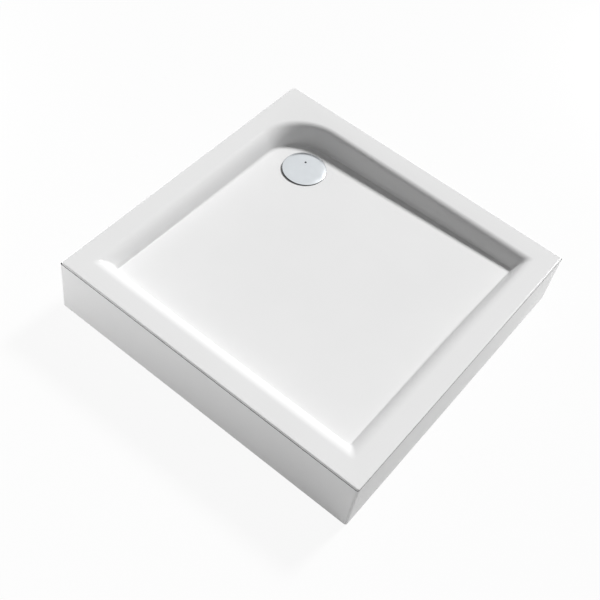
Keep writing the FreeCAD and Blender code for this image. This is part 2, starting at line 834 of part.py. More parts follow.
def apron_clip(side, end, sign):
    """One clip with its two screws, and their holes in the laminate."""
    name = f"apron_clip_{side}_{end}"
    along = dim.clip_spread * sign
    strip = side_strip(name + "_strip", side, clip_section, dim.clip_width, along)
    holes = []
    for step in (-1, 1):
        inwards = (clip_start + dim.clip_thickness + clip_end) / 2
        x, y = side_place(side, inwards, along + dim.clip_width / 4 * step)
        mark = f"{name}_{'before' if step < 0 else 'after'}"
        holes.append(screw_hole(mark + "_hole", x, y, clip_base - 1, backing_under + 1))
        backing_holes.append(screw_hole(mark + "_pilot", x, y, backing_under - 1, rim_under))
        grip = dim.clip_thickness + dim.backing_thickness
        clip_screws.append(screw(mark + "_screw", x, y, clip_base, grip))
    node(without(name, strip, *holes), name)


for side, end, sign in SIDE_PAIRS:
    apron_clip(side, end, sign)
node(joined("apron_clip_screws", *clip_screws), "apron_clip_screws")
node(without("glassfibre_backing", backing_blank, *backing_holes), "glassfibre_backing")


# Stays from the board down to the bottom return of the apron.

stay_screws = []
BOARD_STARTS = {"front": board_front + edge, "right": edge - board_right}
stay_low = dim.apron_floor_gap + dim.apron_thickness + dim.seat_gap
stay_end = dim.apron_inset + dim.apron_thickness + 1


def apron_stay(side, end, sign):
    """One bent steel stay with its two screws, and their holes in the board."""
    name = f"apron_stay_{side}_{end}"
    along = dim.stay_spread * sign
    upright = BOARD_STARTS[side] + dim.stay_board_inset
    inner = upright + dim.stay_tab
    under = board_under(*side_place(side, (upright + inner) / 2, along))
    tab_low = under - dim.stay_thickness
    strip = side_strip(name + "_strip", side, (
        (upright, under + dim.stay_thickness),
        (inner, under + dim.stay_thickness),
        (inner, tab_low),
        (upright + dim.stay_thickness, tab_low),
        (upright + dim.stay_thickness, stay_low),
        (stay_end, stay_low),
        (stay_end, stay_low + dim.stay_thickness),
        (upright, stay_low + dim.stay_thickness),
    ), dim.stay_width, along)
    tools = [board_cutter(name + "_trim")]
    for step in (-1, 1):
        x, y = side_place(side, (upright + inner * 2) / 3, along + dim.stay_width / 4 * step)
        mark = f"{name}_{'before' if step < 0 else 'after'}"
        top = under + dim.screw_grip
        tools.append(screw_hole(mark + "_hole", x, y, tab_low - 1, top))
        board_holes.append(screw_hole(mark + "_pilot", x, y, under - 5, top))
        stay_screws.append(screw(mark + "_screw", x, y, tab_low, dim.screw_grip))
    node(without(name, strip, *tools), name)


for side, end, sign in SIDE_PAIRS:
    apron_stay(side, end, sign)
node(joined("apron_stay_screws", *stay_screws), "apron_stay_screws")
node(without("base_board", board_blank, *board_holes), "base_board")


# Brackets screwed to the walls, hooked round the lip of the rim.

bracket_inner = dim.lip_inset + dim.sheet_thickness + dim.seat_gap
bracket_foot = lip_bottom - dim.bracket_drop
bracket_section = (
    (size(0), bracket_foot),
    (dim.bracket_thickness, bracket_foot),
    (dim.bracket_thickness, lip_bottom - dim.bracket_thickness),
    (bracket_inner + dim.bracket_thickness, lip_bottom - dim.bracket_thickness),
    (bracket_inner + dim.bracket_thickness, lip_bottom + dim.bracket_hook),
    (bracket_inner, lip_bottom + dim.bracket_hook),
    (bracket_inner, lip_bottom),
    (dim.bracket_thickness, lip_bottom),
    (dim.bracket_thickness, rim_under - dim.rim_edge_radius),
    (size(0), rim_under - dim.rim_edge_radius),
)


def wall_bracket(side, end, sign):
    """One bracket with its two wall screw holes."""
    name = f"wall_bracket_{side}_{end}"
    along = dim.bracket_spread * sign
    strip = side_strip(name + "_strip", side, bracket_section, dim.bracket_width, along)
    holes = []
    for step in (-1, 1):
        x, y = side_place(side, size(-1), along + dim.bracket_hole_spread / 2 * step)
        hole = document.addObject("Part::Cylinder", f"{name}_{'before' if step < 0 else 'after'}")
        drive(hole, "Radius", dim.bracket_hole_radius)
        drive(hole, "Height", dim.bracket_thickness + 2)
        if side == "left":
            turn(hole, FreeCAD.Vector(0, 1, 0), 90)
        else:
            turn(hole, FreeCAD.Vector(1, 0, 0), 90)
        holes.append(move(hole, x, y, bracket_foot + dim.bracket_hole_rise))
    node(without(name, strip, *holes), name)


for side, end, sign in (("left", "front", -1), ("left", "back", 1), ("back", "left", -1), ("back", "right", 1)):
    wall_bracket(side, end, sign)


# The waste. Heights are from the level seat in the floor, upwards.


def waste_ring(name, points):
    """A piece turned about the axis of the waste."""
    return turned(name, points, waste_x, waste_y, seat)


def waste_rod(name, radius, low, high, out=0, bearing=0):
    """An upright cylinder at a distance and a bearing from the axis of the waste."""
    x = waste_x + size(out) * math.cos(math.radians(bearing))
    y = waste_y + size(out) * math.sin(math.radians(bearing))
    return rod(name, radius, seat + low, seat + high, x, y)


under_sheet = -dim.sheet_thickness
trap_top = under_sheet - dim.gasket_thickness
neck_inside = dim.neck_radius - dim.neck_wall
flange_top = dim.gasket_thickness + dim.flange_thickness
shoulder_top = dim.neck_wall - dim.neck_length
shoulder_inside = dim.neck_radius - dim.shoulder_width

node(waste_ring("upper_gasket", (
    (dim.waste_hole_radius, 0),
    (dim.flange_radius, 0),
    (dim.flange_radius, dim.gasket_thickness),
    (dim.waste_hole_radius, dim.gasket_thickness),
)), "waste_upper_gasket")
node(waste_ring("lower_gasket", (
    (dim.waste_hole_radius, trap_top),
    (dim.trap_flange_radius, trap_top),
    (dim.trap_flange_radius, under_sheet),
    (dim.waste_hole_radius, under_sheet),
)), "waste_lower_gasket")
node(waste_ring("clamp_flange", (
    (neck_inside, flange_top),
    (dim.flange_radius, flange_top),
    (dim.flange_radius, dim.gasket_thickness),
    (dim.neck_radius, dim.gasket_thickness),
    (dim.neck_radius, -dim.neck_length),
    (shoulder_inside, -dim.neck_length),
    (shoulder_inside, shoulder_top),
    (neck_inside, shoulder_top),
)), "waste_clamp_flange")

collar_inside = dim.neck_radius + dim.collar_clearance
collar_outside = collar_inside + dim.trap_wall
chamber_inside = dim.trap_radius - dim.trap_wall
roof = dim.trap_wall - dim.collar_length
base = dim.trap_wall - dim.trap_depth
chamfer = dim.trap_foot_chamfer
chamber = waste_ring("chamber", (
    (collar_inside, trap_top),
    (dim.trap_flange_radius, trap_top),
    (dim.trap_flange_radius, trap_top - dim.trap_flange_thickness),
    (collar_outside, trap_top - dim.trap_flange_thickness),
    (collar_outside, roof),
    (dim.trap_radius, roof),
    (dim.trap_radius, chamfer - dim.trap_depth),
    (dim.trap_radius - chamfer, -dim.trap_depth),
    (0, -dim.trap_depth),
    (0, base),
    (chamber_inside - chamfer, base),
    (chamber_inside, base + chamfer),
    (chamber_inside, -dim.collar_length),
    (collar_inside, -dim.collar_length),
))
outlet_height = seat - dim.outlet_axis_drop
stub_bore = dim.outlet_radius + dim.fit_clearance
stub_outside = stub_bore + dim.stub_wall
stub_end = waste_x - dim.trap_radius - dim.stub_length


def outlet_rod(name, radius, start, end):
    """A cylinder on the axis of the outlet, from start leftwards to end."""
    solid = document.addObject("Part::Cylinder", name)
    drive(solid, "Radius", radius)
    drive(solid, "Height", size(start) - end)
    turn(solid, FreeCAD.Vector(0, 1, 0), -90)
    return move(solid, start, waste_y, outlet_height)


chamber_side = waste_x - chamber_inside + chamfer
stub = outlet_rod("stub", stub_outside, chamber_side, stub_end)
chamber_room = waste_rod("chamber_room", chamber_inside, base + chamfer, -dim.collar_length)
trap_solid = joined("trap_solid", chamber, without("stub_outside_chamber", stub, chamber_room))
bore = outlet_rod("stub_bore", stub_bore, chamber_side + chamfer, stub_end - 1)
node(without("trap_body", trap_solid, bore), "trap_body")

lift = dim.seat_gap
cup_low = shoulder_top + lift
cup_top = cup_low + dim.cup_flange
cup_outside = shoulder_inside - dim.fit_clearance
cup_inside = cup_outside - dim.cup_wall
ring_outside = neck_inside - dim.fit_clearance
cup_bottom = base + dim.cup_floor_gap
cup_floor = cup_bottom + dim.cup_wall
cup = waste_ring("cup", (
    (cup_inside, cup_top),
    (ring_outside, cup_top),
    (ring_outside, cup_low),
    (cup_outside, cup_low),
    (cup_outside, cup_bottom),
    (0, cup_bottom),
    (0, cup_floor),
    (cup_inside, cup_floor),
))
window_top = seat - dim.cup_window_top
half_window = dim.cup_window_width / 2
windows = [
    block(
        f"cup_windows_{name}",
        (waste_x - wide, waste_y - deep, window_top - dim.cup_window_height),
        (waste_x + wide, waste_y + deep, window_top),
    )
    for name, wide, deep in (
        ("across", dim.trap_radius, half_window),
        ("along", half_window, dim.trap_radius),
    )
]
node(without("trap_cup", cup, *windows), "trap_cup")

dip_low = cup_top + lift
dip_top = dip_low + dim.dip_flange
dip_inside = dim.dip_radius - dim.dip_wall
dip_bottom = cup_floor + dim.dip_floor_gap
node(waste_ring("dip_tube", (
    (dip_inside, dip_top),
    (ring_outside, dip_top),
    (ring_outside, dip_low),
    (dim.dip_radius, dip_low),
    (dim.dip_radius, dip_bottom),
    (dip_inside, dip_bottom),
)), "dip_tube")

strainer_low = dip_top + lift
strainer_top = strainer_low + dim.strainer_height
grip = dim.strainer_grip_radius
grip_top = strainer_top + dim.strainer_grip_height
strainer = waste_ring("strainer", (
    (0, strainer_top - dim.strainer_wall),
    (dim.strainer_radius - dim.strainer_rim, strainer_top - dim.strainer_wall),
    (dim.strainer_radius - dim.strainer_rim, strainer_low),
    (dim.strainer_radius, strainer_low),
    (dim.strainer_radius, strainer_top),
    (grip / 2, strainer_top),
    (grip / 2, grip_top - grip),
    (grip, grip_top - grip / 2),
    (grip, grip_top),
    (0, grip_top),
))
holes = []
for ring, circle, count in (
    ("inner", dim.strainer_inner_circle, INNER_HOLES),
    ("outer", dim.strainer_outer_circle, OUTER_HOLES),
):
    for index in range(count):
        holes.append(waste_rod(
            f"strainer_{ring}_hole_{index + 1}", dim.strainer_hole_radius,
            strainer_low, strainer_top + 1, circle, 360 * index / count,
        ))
node(without("hair_strainer", strainer, *holes), "hair_strainer")

cover_low = dim.dish_depth + dim.cover_lift
cover_top = cover_low + dim.cover_edge
cover_under = cover_top - dim.cover_thickness
cover_plate = waste_ring("cover_plate", (
    (0, cover_under),
    (dim.cover_radius - dim.cover_rim, cover_under),
    (dim.cover_radius - dim.cover_rim, cover_low),
    (dim.cover_radius, cover_low),
    (dim.cover_radius, cover_top),
    (0, cover_top),
))


def round_the_cover(item):
    box = item.BoundBox
    level = box.ZLength < 0.001 and abs(box.ZMin - cover_top.value) < 0.001
    return level and abs(box.XLength - 2 * dim.cover_radius.value) < 0.01


rounded(cover_plate, "cover_round", dim.cover_round, round_the_cover)
legs = [
    waste_rod(
        f"cover_leg_{index + 1}", dim.cover_leg_radius, strainer_top + lift,
        cover_under + dim.cover_thickness / 2, dim.cover_leg_circle, 360 * index / COVER_LEGS + 15,
    )
    for index in range(COVER_LEGS)
]
cover_opening = rod(
    "cover_opening", dim.cover_hole_radius, seat + cover_under - 1, seat + cover_top + 1,
    waste_x - dim.cover_hole_left, waste_y + dim.cover_hole_back,
)
cover = joined("cover", cover_plate, *legs)
node(without("drain_cover", cover, cover_opening), "drain_cover")


# The outlet: a pipe elbow that a union nut and a rubber ring hold in the stub of the trap.

union_start = stub_end + dim.union_overlap
union_end = union_start - dim.union_length
union_bore = stub_outside + dim.union_clearance
union_outside = union_bore + dim.union_wall
union_body = outlet_rod("union_body", union_outside, union_start, union_end)
ribs = []
for index in range(UNION_RIBS):
    rib = outlet_rod(f"union_rib_{index + 1}", dim.union_rib_radius, union_start - 1, union_end + 1)
    bearing = math.radians(360 * index / UNION_RIBS)
    rib_y = waste_y + union_outside * math.cos(bearing)
    rib_z = outlet_height + union_outside * math.sin(bearing)
    ribs.append(move(rib, union_start - 1, rib_y, rib_z))
union_solid = joined("union_solid", union_body, *ribs)
union_room = outlet_rod("union_room", union_bore, union_start + 1, union_end + dim.union_lip)
union_mouth = outlet_rod("union_mouth", stub_bore, union_start, union_end - 1)
node(without("outlet_union_nut", union_solid, union_room, union_mouth), "outlet_union_nut")

ring_solid = outlet_rod("outlet_ring", stub_outside, stub_end, union_end + dim.union_lip)
ring_bore = outlet_rod("outlet_ring_bore", stub_bore, stub_end + 1, union_end)
node(without("outlet_seal", ring_solid, ring_bore), "outlet_seal")

elbow_start = stub_end + dim.elbow_insert
bend_start = union_end - dim.elbow_lead


def elbow_pipe(name, radius, overrun):
    """The elbow as a solid bar of one radius: straight, a bend towards the front, straight."""
    bend = dim.elbow_bend
    turn_by = math.radians(dim.elbow_angle.value)
    lead = outlet_rod(name + "_lead", radius, elbow_start + overrun, bend_start)
    curve = document.addObject("Part::Torus", name + "_curve")
    drive(curve, "Radius1", bend)
    drive(curve, "Radius2", radius)
    drive(curve, "Angle3", dim.elbow_angle)
    curve.Placement.Rotation = FreeCAD.Rotation(FreeCAD.Vector(0, 0, 1), 90)
    move(curve, bend_start, waste_y - bend, outlet_height)
    tail = document.addObject("Part::Cylinder", name + "_tail")
    drive(tail, "Radius", radius)
    drive(tail, "Height", dim.elbow_tail + overrun)
    end_x = bend_start - bend * math.sin(turn_by)
    end_y = waste_y - bend * (1 - math.cos(turn_by))
    along = FreeCAD.Vector(-math.cos(turn_by), -math.sin(turn_by), 0)
    tail.Placement.Rotation = FreeCAD.Rotation(FreeCAD.Vector(0, 0, 1), along)
    move(tail, end_x, end_y, outlet_height)
    return joined(name, lead, curve, tail)


elbow_solid = elbow_pipe("elbow_outside", dim.outlet_radius, 0)
elbow_bore = elbow_pipe("elbow_bore", dim.outlet_radius - dim.outlet_wall, 1)
node(without("outlet_elbow", elbow_solid, elbow_bore), "outlet_elbow")


# Check the whole document, then write one file for each piece.

document.recompute()
failures = [
    f"{item.Label}: {item.getStatusString()}"
    for item in document.Objects if {"Invalid", "Error"} & set(item.State)
]
for piece in nodes:
    shape = piece.Shape
    if shape.isNull() or not shape.isValid() or not shape.Solids:
        failures.append(f"{piece.Label}: no sound solid")
        continue
    box = shape.BoundBox
    print(
        f"{piece.Label:28s}{len(shape.Solids):3d} solids {shape.Volume / 1000:8.1f} cm3"
        f"   x {box.XMin:7.1f} {box.XMax:7.1f}   y {box.YMin:7.1f} {box.YMax:7.1f}"
        f"   z {box.ZMin:6.1f} {box.ZMax:6.1f}"
    )
if failures:
    raise ValueError("; ".join(failures))
os.makedirs("parts", exist_ok=True)
for piece in nodes:
    piece.Shape.exportStep(os.path.join("parts", piece.Label + ".step"))
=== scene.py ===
"""Looks of a square corner shower tray with a pull-off apron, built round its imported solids."""

import json
import logging
import math
from dataclasses import dataclass
from enum import Enum
from typing import Sequence

import bmesh
import bpy
from mathutils import Matrix, Vector

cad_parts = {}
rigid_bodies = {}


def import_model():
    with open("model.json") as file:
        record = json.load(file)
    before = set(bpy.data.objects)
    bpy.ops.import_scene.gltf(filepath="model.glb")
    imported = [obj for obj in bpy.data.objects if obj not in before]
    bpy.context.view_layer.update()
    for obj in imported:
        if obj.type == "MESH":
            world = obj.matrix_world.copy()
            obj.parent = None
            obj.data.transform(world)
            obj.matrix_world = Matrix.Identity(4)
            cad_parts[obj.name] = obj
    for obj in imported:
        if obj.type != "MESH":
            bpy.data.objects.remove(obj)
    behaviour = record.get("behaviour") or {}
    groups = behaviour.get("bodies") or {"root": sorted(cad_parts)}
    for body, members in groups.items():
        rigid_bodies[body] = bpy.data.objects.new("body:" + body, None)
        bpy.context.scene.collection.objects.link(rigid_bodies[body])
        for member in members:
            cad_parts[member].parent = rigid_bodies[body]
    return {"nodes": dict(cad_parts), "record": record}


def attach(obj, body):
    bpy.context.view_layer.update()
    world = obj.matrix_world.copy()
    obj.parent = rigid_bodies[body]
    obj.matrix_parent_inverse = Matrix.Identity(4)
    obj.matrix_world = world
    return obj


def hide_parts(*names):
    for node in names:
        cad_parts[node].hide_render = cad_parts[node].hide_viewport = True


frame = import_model()

LOG = logging.getLogger("shower_tray")
MM = 0.001  # metres in a millimetre
SAME_PLACE = 1e-6  # metres within which points are merged
NO_LENGTH = 1e-7  # metres below which an edge is dropped
STRAIGHT = 0.02  # radians by which a corner may turn and stay as it is
RUN_SHARE = 0.45  # share of a run that the rounding of one corner may take
WHITE = (1.0, 1.0, 1.0, 1.0)

Point2 = tuple[float, float]
Point3 = tuple[float, float, float]
Colour = tuple[float, float, float]
Span = tuple[float, float, float, float]  # lowest and highest result, and where they start and end


class Slot(Enum):
    """Material slots of the record."""

    ACRYLIC = "acrylic"
    LAMINATE = "laminate"
    BOARD = "board"
    FOOT = "foot_plastic"
    STEEL = "zinc_steel"
    CLIP = "clip_plastic"
    FOAM = "foam"
    RUBBER = "rubber"
    WASTE = "waste_plastic"
    STRAINER = "strainer_plastic"
    CHROME = "chrome_plate"


# Mesh making.


def quarter(steps: int) -> list[float]:
    """Angles from nought to a right angle, in equal steps."""
    return [k * math.pi / 2 / steps for k in range(steps + 1)]


def circle(steps: int) -> list[float]:
    """Angles of one turn in equal steps, the last of which leads back to the first."""
    return [math.tau * k / steps for k in range(steps)]


def linked(name: str, data: object) -> bpy.types.Object:
    """Makes an object of a mesh, lamp or camera and links it to the scene."""
    item = bpy.data.objects.new(name, data)
    bpy.context.scene.collection.objects.link(item)
    return item


def smooth(item: bpy.types.Object, sharp_degrees: float = 35.0, outward: bool = True) -> None:
    """Merges doubles, turns faces outwards, and leaves only the sharp edges sharp.

    Args:
        item: The mesh object to finish.
        sharp_degrees: Edges that turn by more than this stay sharp.
        outward: Whether to work out which way the faces point.
    """
    work = bmesh.new()
    work.from_mesh(item.data)
    bmesh.ops.remove_doubles(work, verts=work.verts, dist=SAME_PLACE)
    bmesh.ops.dissolve_degenerate(work, edges=work.edges, dist=NO_LENGTH)
    if outward:
        bmesh.ops.recalc_face_normals(work, faces=work.faces)
    limit = math.radians(sharp_degrees)
    for face in work.faces:
        face.smooth = True
    for edge in work.edges:
        edge.smooth = len(edge.link_faces) != 2 or edge.calc_face_angle(0.0) < limit
    work.to_mesh(item.data)
    work.free()


def make(name: str, points: Sequence[Sequence[float]], faces: Sequence[Sequence[int]]) -> bpy.types.Object:
    """Makes a mesh object from points in millimetres.

    Args:
        name: Name of the piece.
        points: Its points, in millimetres, in the tray's frame.
        faces: Lists of point numbers.

    Returns:
        The linked object, at the origin.
    """
    mesh = bpy.data.meshes.new(name)
    mesh.from_pydata([tuple(c * MM for c in p) for p in points], [], [tuple(f) for f in faces])
    return linked(name, mesh)


def skin(
    name: str, rings: Sequence[Sequence[Sequence[float]]], wraps: bool = False, sharp: float = 35.0
) -> bpy.types.Object:
    """Covers a row of closed rings that have the same number of points.

    Args:
        name: Name of the piece.
        rings: The rings, in order.
        wraps: True where the last ring joins the first; otherwise both ends are closed flat.
        sharp: Edges that turn by more than this many degrees stay sharp.

    Returns:
        The closed mesh object.
    """
    count = len(rings[0])
    points = [p for ring in rings for p in ring]
    faces = []
    last = len(rings) if wraps else len(rings) - 1
    for row in range(last):
        here, there = row * count, (row + 1) % len(rings) * count
        for k in range(count):
            after = (k + 1) % count
            faces.append((here + k, here + after, there + after, there + k))
    if not wraps:
        faces.append(tuple(range(count)))
        faces.append(tuple(range(len(points) - count, len(points))))
    item = make(name, points, faces)
    smooth(item, sharp)
    return item


def softened(points: Sequence[Point2], radius: float, steps: int = 3, closed: bool = True) -> list[Point2]:
    """Rounds the corners of a flat outline.

    Args:
        points: Corners of the outline.
        radius: Radius of the rounding, reduced where a run is too short for it.
        steps: Runs in each rounding.
        closed: False keeps the two end points as they are.

    Returns:
        The outline with its corners replaced by arcs.
    """
    result: list[Point2] = []
    count = len(points)
    for k, (x, y) in enumerate(points):
        here = Vector((x, y))
        if not closed and k in (0, count - 1):
            result.append((x, y))
            continue
        before, after = Vector(points[k - 1]) - here, Vector(points[(k + 1) % count]) - here
        angle = before.angle(after, math.pi)
        if angle > math.pi - STRAIGHT:
            result.append((x, y))
            continue
        reach = min(radius / math.tan(angle / 2), before.length * RUN_SHARE, after.length * RUN_SHARE)
        start, end = here + before.normalized() * reach, here + after.normalized() * reach
        for step in range(steps + 1):
            t = step / steps
            blend = start * (1 - t) ** 2 + here * 2 * t * (1 - t) + end * t ** 2
            result.append((blend.x, blend.y))
    return result


def lathe(
    name: str, profile: Sequence[Point2], centre: Point3, segments: int = 96,
    soft: float = 0.4, sharp: float = 40.0,
) -> bpy.types.Object:
    """Turns a closed profile about an upright axis.

    Args:
        name: Name of the piece.
        profile: Corners of the profile as radius and height above the centre. One that touches the axis
            is reordered to begin and end there.
        centre: Where the axis meets the profile's zero height, in millimetres.
        segments: Points round the piece.
        soft: Radius of the rounding of the profile's corners.
        sharp: Edges that turn by more than this many degrees stay sharp.

    Returns:
        The closed mesh object.
    """
    on_axis = [k for k, (radius, _) in enumerate(profile) if radius == 0]
    outline = list(profile)
    if on_axis:
        first = next(k for k in on_axis if profile[(k + 1) % len(profile)][0] > 0)
        outline = outline[first:] + outline[:first]
    outline = softened(outline, soft, closed=not on_axis)
    x, y, low = centre
    rings = [
        [(x + r * math.cos(a), y + r * math.sin(a), low + z) for a in circle(segments)] for r, z in outline
    ]
    return skin(name, rings, wraps=True, sharp=sharp)


def merged(name: str, items: Sequence[bpy.types.Object]) -> bpy.types.Object:
    """Joins several mesh objects into a new one and deletes them.

    Args:
        name: Name of the result.
        items: The objects, all at the origin.

    Returns:
        The joined object.
    """
    work = bmesh.new()
    for item in items:
        work.from_mesh(item.data)
    mesh = bpy.data.meshes.new(name)
    work.to_mesh(mesh)
    work.free()
    for item in items:
        bpy.data.objects.remove(item)
    return linked(name, mesh)


def baked(item: bpy.types.Object) -> bpy.types.Object:
    """Turns an object's modifiers into its mesh.

    Args:
        item: The object; its modifiers are removed.

    Returns:
        The same object, with the evaluated mesh.
    """
    bpy.context.view_layer.update()
    graph = bpy.context.evaluated_depsgraph_get()
    mesh = bpy.data.meshes.new_from_object(item.evaluated_get(graph))
    item.modifiers.clear()
    item.data = mesh
    return item


def carved(item: bpy.types.Object, cutter: bpy.types.Object) -> bpy.types.Object:
    """Cuts one object out of another.

    Args:
        item: The piece to cut.
        cutter: What is taken away; it is deleted afterwards.

    Returns:
        The piece with the cut in its mesh.
    """
    step = item.modifiers.new("cut", "BOOLEAN")
    step.operation = "DIFFERENCE"
    step.solver = "EXACT"
    step.use_self = True
    step.object = cutter
    baked(item)
    bpy.data.objects.remove(cutter)
    smooth(item, sharp_degrees=30.0, outward=False)
    return item


def islands(node: str) -> list[tuple[Vector, Vector]]:
    """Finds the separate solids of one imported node.

    Args:
        node: Name of the node.

    Returns:
        The lowest and highest corner of each, in metres, in a fixed order.
    """
    work = bmesh.new()
    work.from_mesh(frame["nodes"][node].data)
    bmesh.ops.remove_doubles(work, verts=work.verts, dist=SAME_PLACE)
    seen: set[bmesh.types.BMVert] = set()
    boxes = []
    for first in work.verts:
        if first in seen:
            continue
        seen.add(first)
        waiting, found = [first], []
        while waiting:
            here = waiting.pop()
            found.append(here.co)
            for edge in here.link_edges:
                there = edge.other_vert(here)
                if there not in seen:
                    seen.add(there)
                    waiting.append(there)
        spans = list(zip(*found))
        boxes.append((Vector(map(min, spans)), Vector(map(max, spans))))
    work.free()
    return sorted(boxes, key=lambda box: tuple(round(c, 4) for c in box[0]))


# Node trees.


def give(tree: bpy.types.NodeTree, socket: bpy.types.NodeSocket, value: object) -> None:
    """Sets an input of a tree's node to a value or links it to a socket."""
    if isinstance(value, bpy.types.NodeSocket):
        tree.links.new(value, socket)
    else:
        socket.default_value = value


def add_node(
    tree: bpy.types.NodeTree, kind: str, values: dict[str | int, object] | None = None, **settings: object
) -> bpy.types.NodeOutputs:
    """Adds a node to a tree.

    Args:
        tree: The tree.
        kind: Type of the node.
        values: Value or socket for each input, by its name or its number.
        settings: Properties of the node.

    Returns:
        The node's outputs.
    """
    made = tree.nodes.new(kind)
    for key, value in settings.items():
        setattr(made, key, value)
    for key, value in (values or {}).items():
        give(tree, made.inputs[key], value)
    return made.outputs


class Growth:
    """A geometry node tree with named inputs, and the meshes that it makes."""

    KINDS = {
        float: "NodeSocketFloat", int: "NodeSocketInt", Vector: "NodeSocketVector",
        bpy.types.Object: "NodeSocketObject", bpy.types.Material: "NodeSocketMaterial",
    }

    def __init__(self, name: str, inputs: dict[str, type]) -> None:
        """Starts a tree.

        Args:
            name: Name of the tree.
            inputs: Name and type of each input.
        """
        self.tree = bpy.data.node_groups.new(name, "GeometryNodeTree")
        face = self.tree.interface
        face.new_socket("Geometry", in_out="INPUT", socket_type="NodeSocketGeometry")
        self.ids = {
            label: face.new_socket(label, in_out="INPUT", socket_type=self.KINDS[kind]).identifier
            for label, kind in inputs.items()
        }
        face.new_socket("Geometry", in_out="OUTPUT", socket_type="NodeSocketGeometry")
        self.given = self.tree.nodes.new("NodeGroupInput").outputs
        self.result = self.tree.nodes.new("NodeGroupOutput").inputs[0]

    def add(self, kind: str, *values: object, **settings: object) -> bpy.types.NodeOutputs:
        """Adds a node.

        Args:
            kind: Type of the node, without its prefix for geometry nodes.
            values: A value or a socket for each input in turn; None leaves one as it is.
            settings: Properties of the node.

        Returns:
            The node's outputs.
        """
        prefixed = kind if kind.startswith(("Shader", "Function")) else "GeometryNode" + kind
        outputs = add_node(self.tree, prefixed, **settings)
        shown = [socket for socket in self.tree.nodes[-1].inputs if socket.enabled]
        for socket, value in zip(shown, values):
            if value is not None:
                give(self.tree, socket, value)
        return outputs

    def sum(self, operation: str, *values: object) -> bpy.types.NodeSocket:
        """Adds a Math node and gives its result."""
        return self.add("ShaderNodeMath", *values, operation=operation)[0]

    def finish(self, geometry: bpy.types.NodeSocket) -> None:
        """Ends the tree in Realize Instances and Set Material."""
        real = self.add("RealizeInstances", geometry)[0]
        self.tree.links.new(self.add("SetMaterial", real, None, self.given["Material"])[0], self.result)

    def grow(self, name: str, **values: object) -> bpy.types.Object:
        """Runs the tree once and keeps the mesh.

        Args:
            name: Name of the piece.
            values: A value for each named input, with underscores for spaces.

        Returns:
            A plain mesh object at the origin.
        """
        item = linked(name, bpy.data.meshes.new(name))
        step = item.modifiers.new("growth", "NODES")
        step.node_group = self.tree
        for key, value in values.items():
            step[self.ids[key.replace("_", " ")]] = value
        return baked(item)


def screw_growth() -> Growth:
    """Makes the tree that stands one unit on every point of a cloud, each turned by a seed."""
    growth = Growth("units_on_points", {
        "Unit": bpy.types.Object, "Places": bpy.types.Object, "Seed": int, "Material": bpy.types.Material,
    })
    unit = growth.add("ObjectInfo", growth.given["Unit"])
    places = growth.add("ObjectInfo", growth.given["Places"])
    spin = growth.add("FunctionNodeRandomValue", 0.0, math.tau, None, growth.given["Seed"], data_type="FLOAT")
    random = next(socket for socket in spin if socket.enabled)
    turned = growth.add("ShaderNodeCombineXYZ", 0.0, 0.0, random)[0]
    stood = growth.add("InstanceOnPoints", places["Geometry"], None, unit["Geometry"], None, None, turned)
    growth.finish(stood[0])
    return growth


def spoke_growth() -> Growth:
    """Makes the tree that sets a count of units round an axis and joins them to a hub."""
    growth = Growth("units_round_an_axis", {
        "Hub": bpy.types.Object, "Unit": bpy.types.Object, "Count": int,
        "Centre": Vector, "Tilt": Vector, "Material": bpy.types.Material,
    })
    hub = growth.add("ObjectInfo", growth.given["Hub"])
    unit = growth.add("ObjectInfo", growth.given["Unit"])
    line = growth.add("MeshLine", growth.given["Count"], None, (0.0, 0.0, 0.0), (0.0, 0.0, 0.0))
    index = growth.add("InputIndex")[0]
    share = growth.sum("DIVIDE", index, growth.given["Count"])
    turned = growth.add("ShaderNodeCombineXYZ", 0.0, 0.0, growth.sum("MULTIPLY", share, math.tau))[0]
    ring = growth.add("InstanceOnPoints", line[0], None, unit["Geometry"], None, None, turned)[0]
    real = growth.add("RealizeInstances", ring)[0]
    placed = growth.add("Transform", real, growth.given["Centre"], growth.given["Tilt"])[0]
    both = growth.add("JoinGeometry")
    join = growth.tree.nodes[-1]
    growth.tree.links.new(placed, join.inputs[0])
    growth.tree.links.new(hub["Geometry"], join.inputs[0])
    growth.finish(both[0])
    return growth


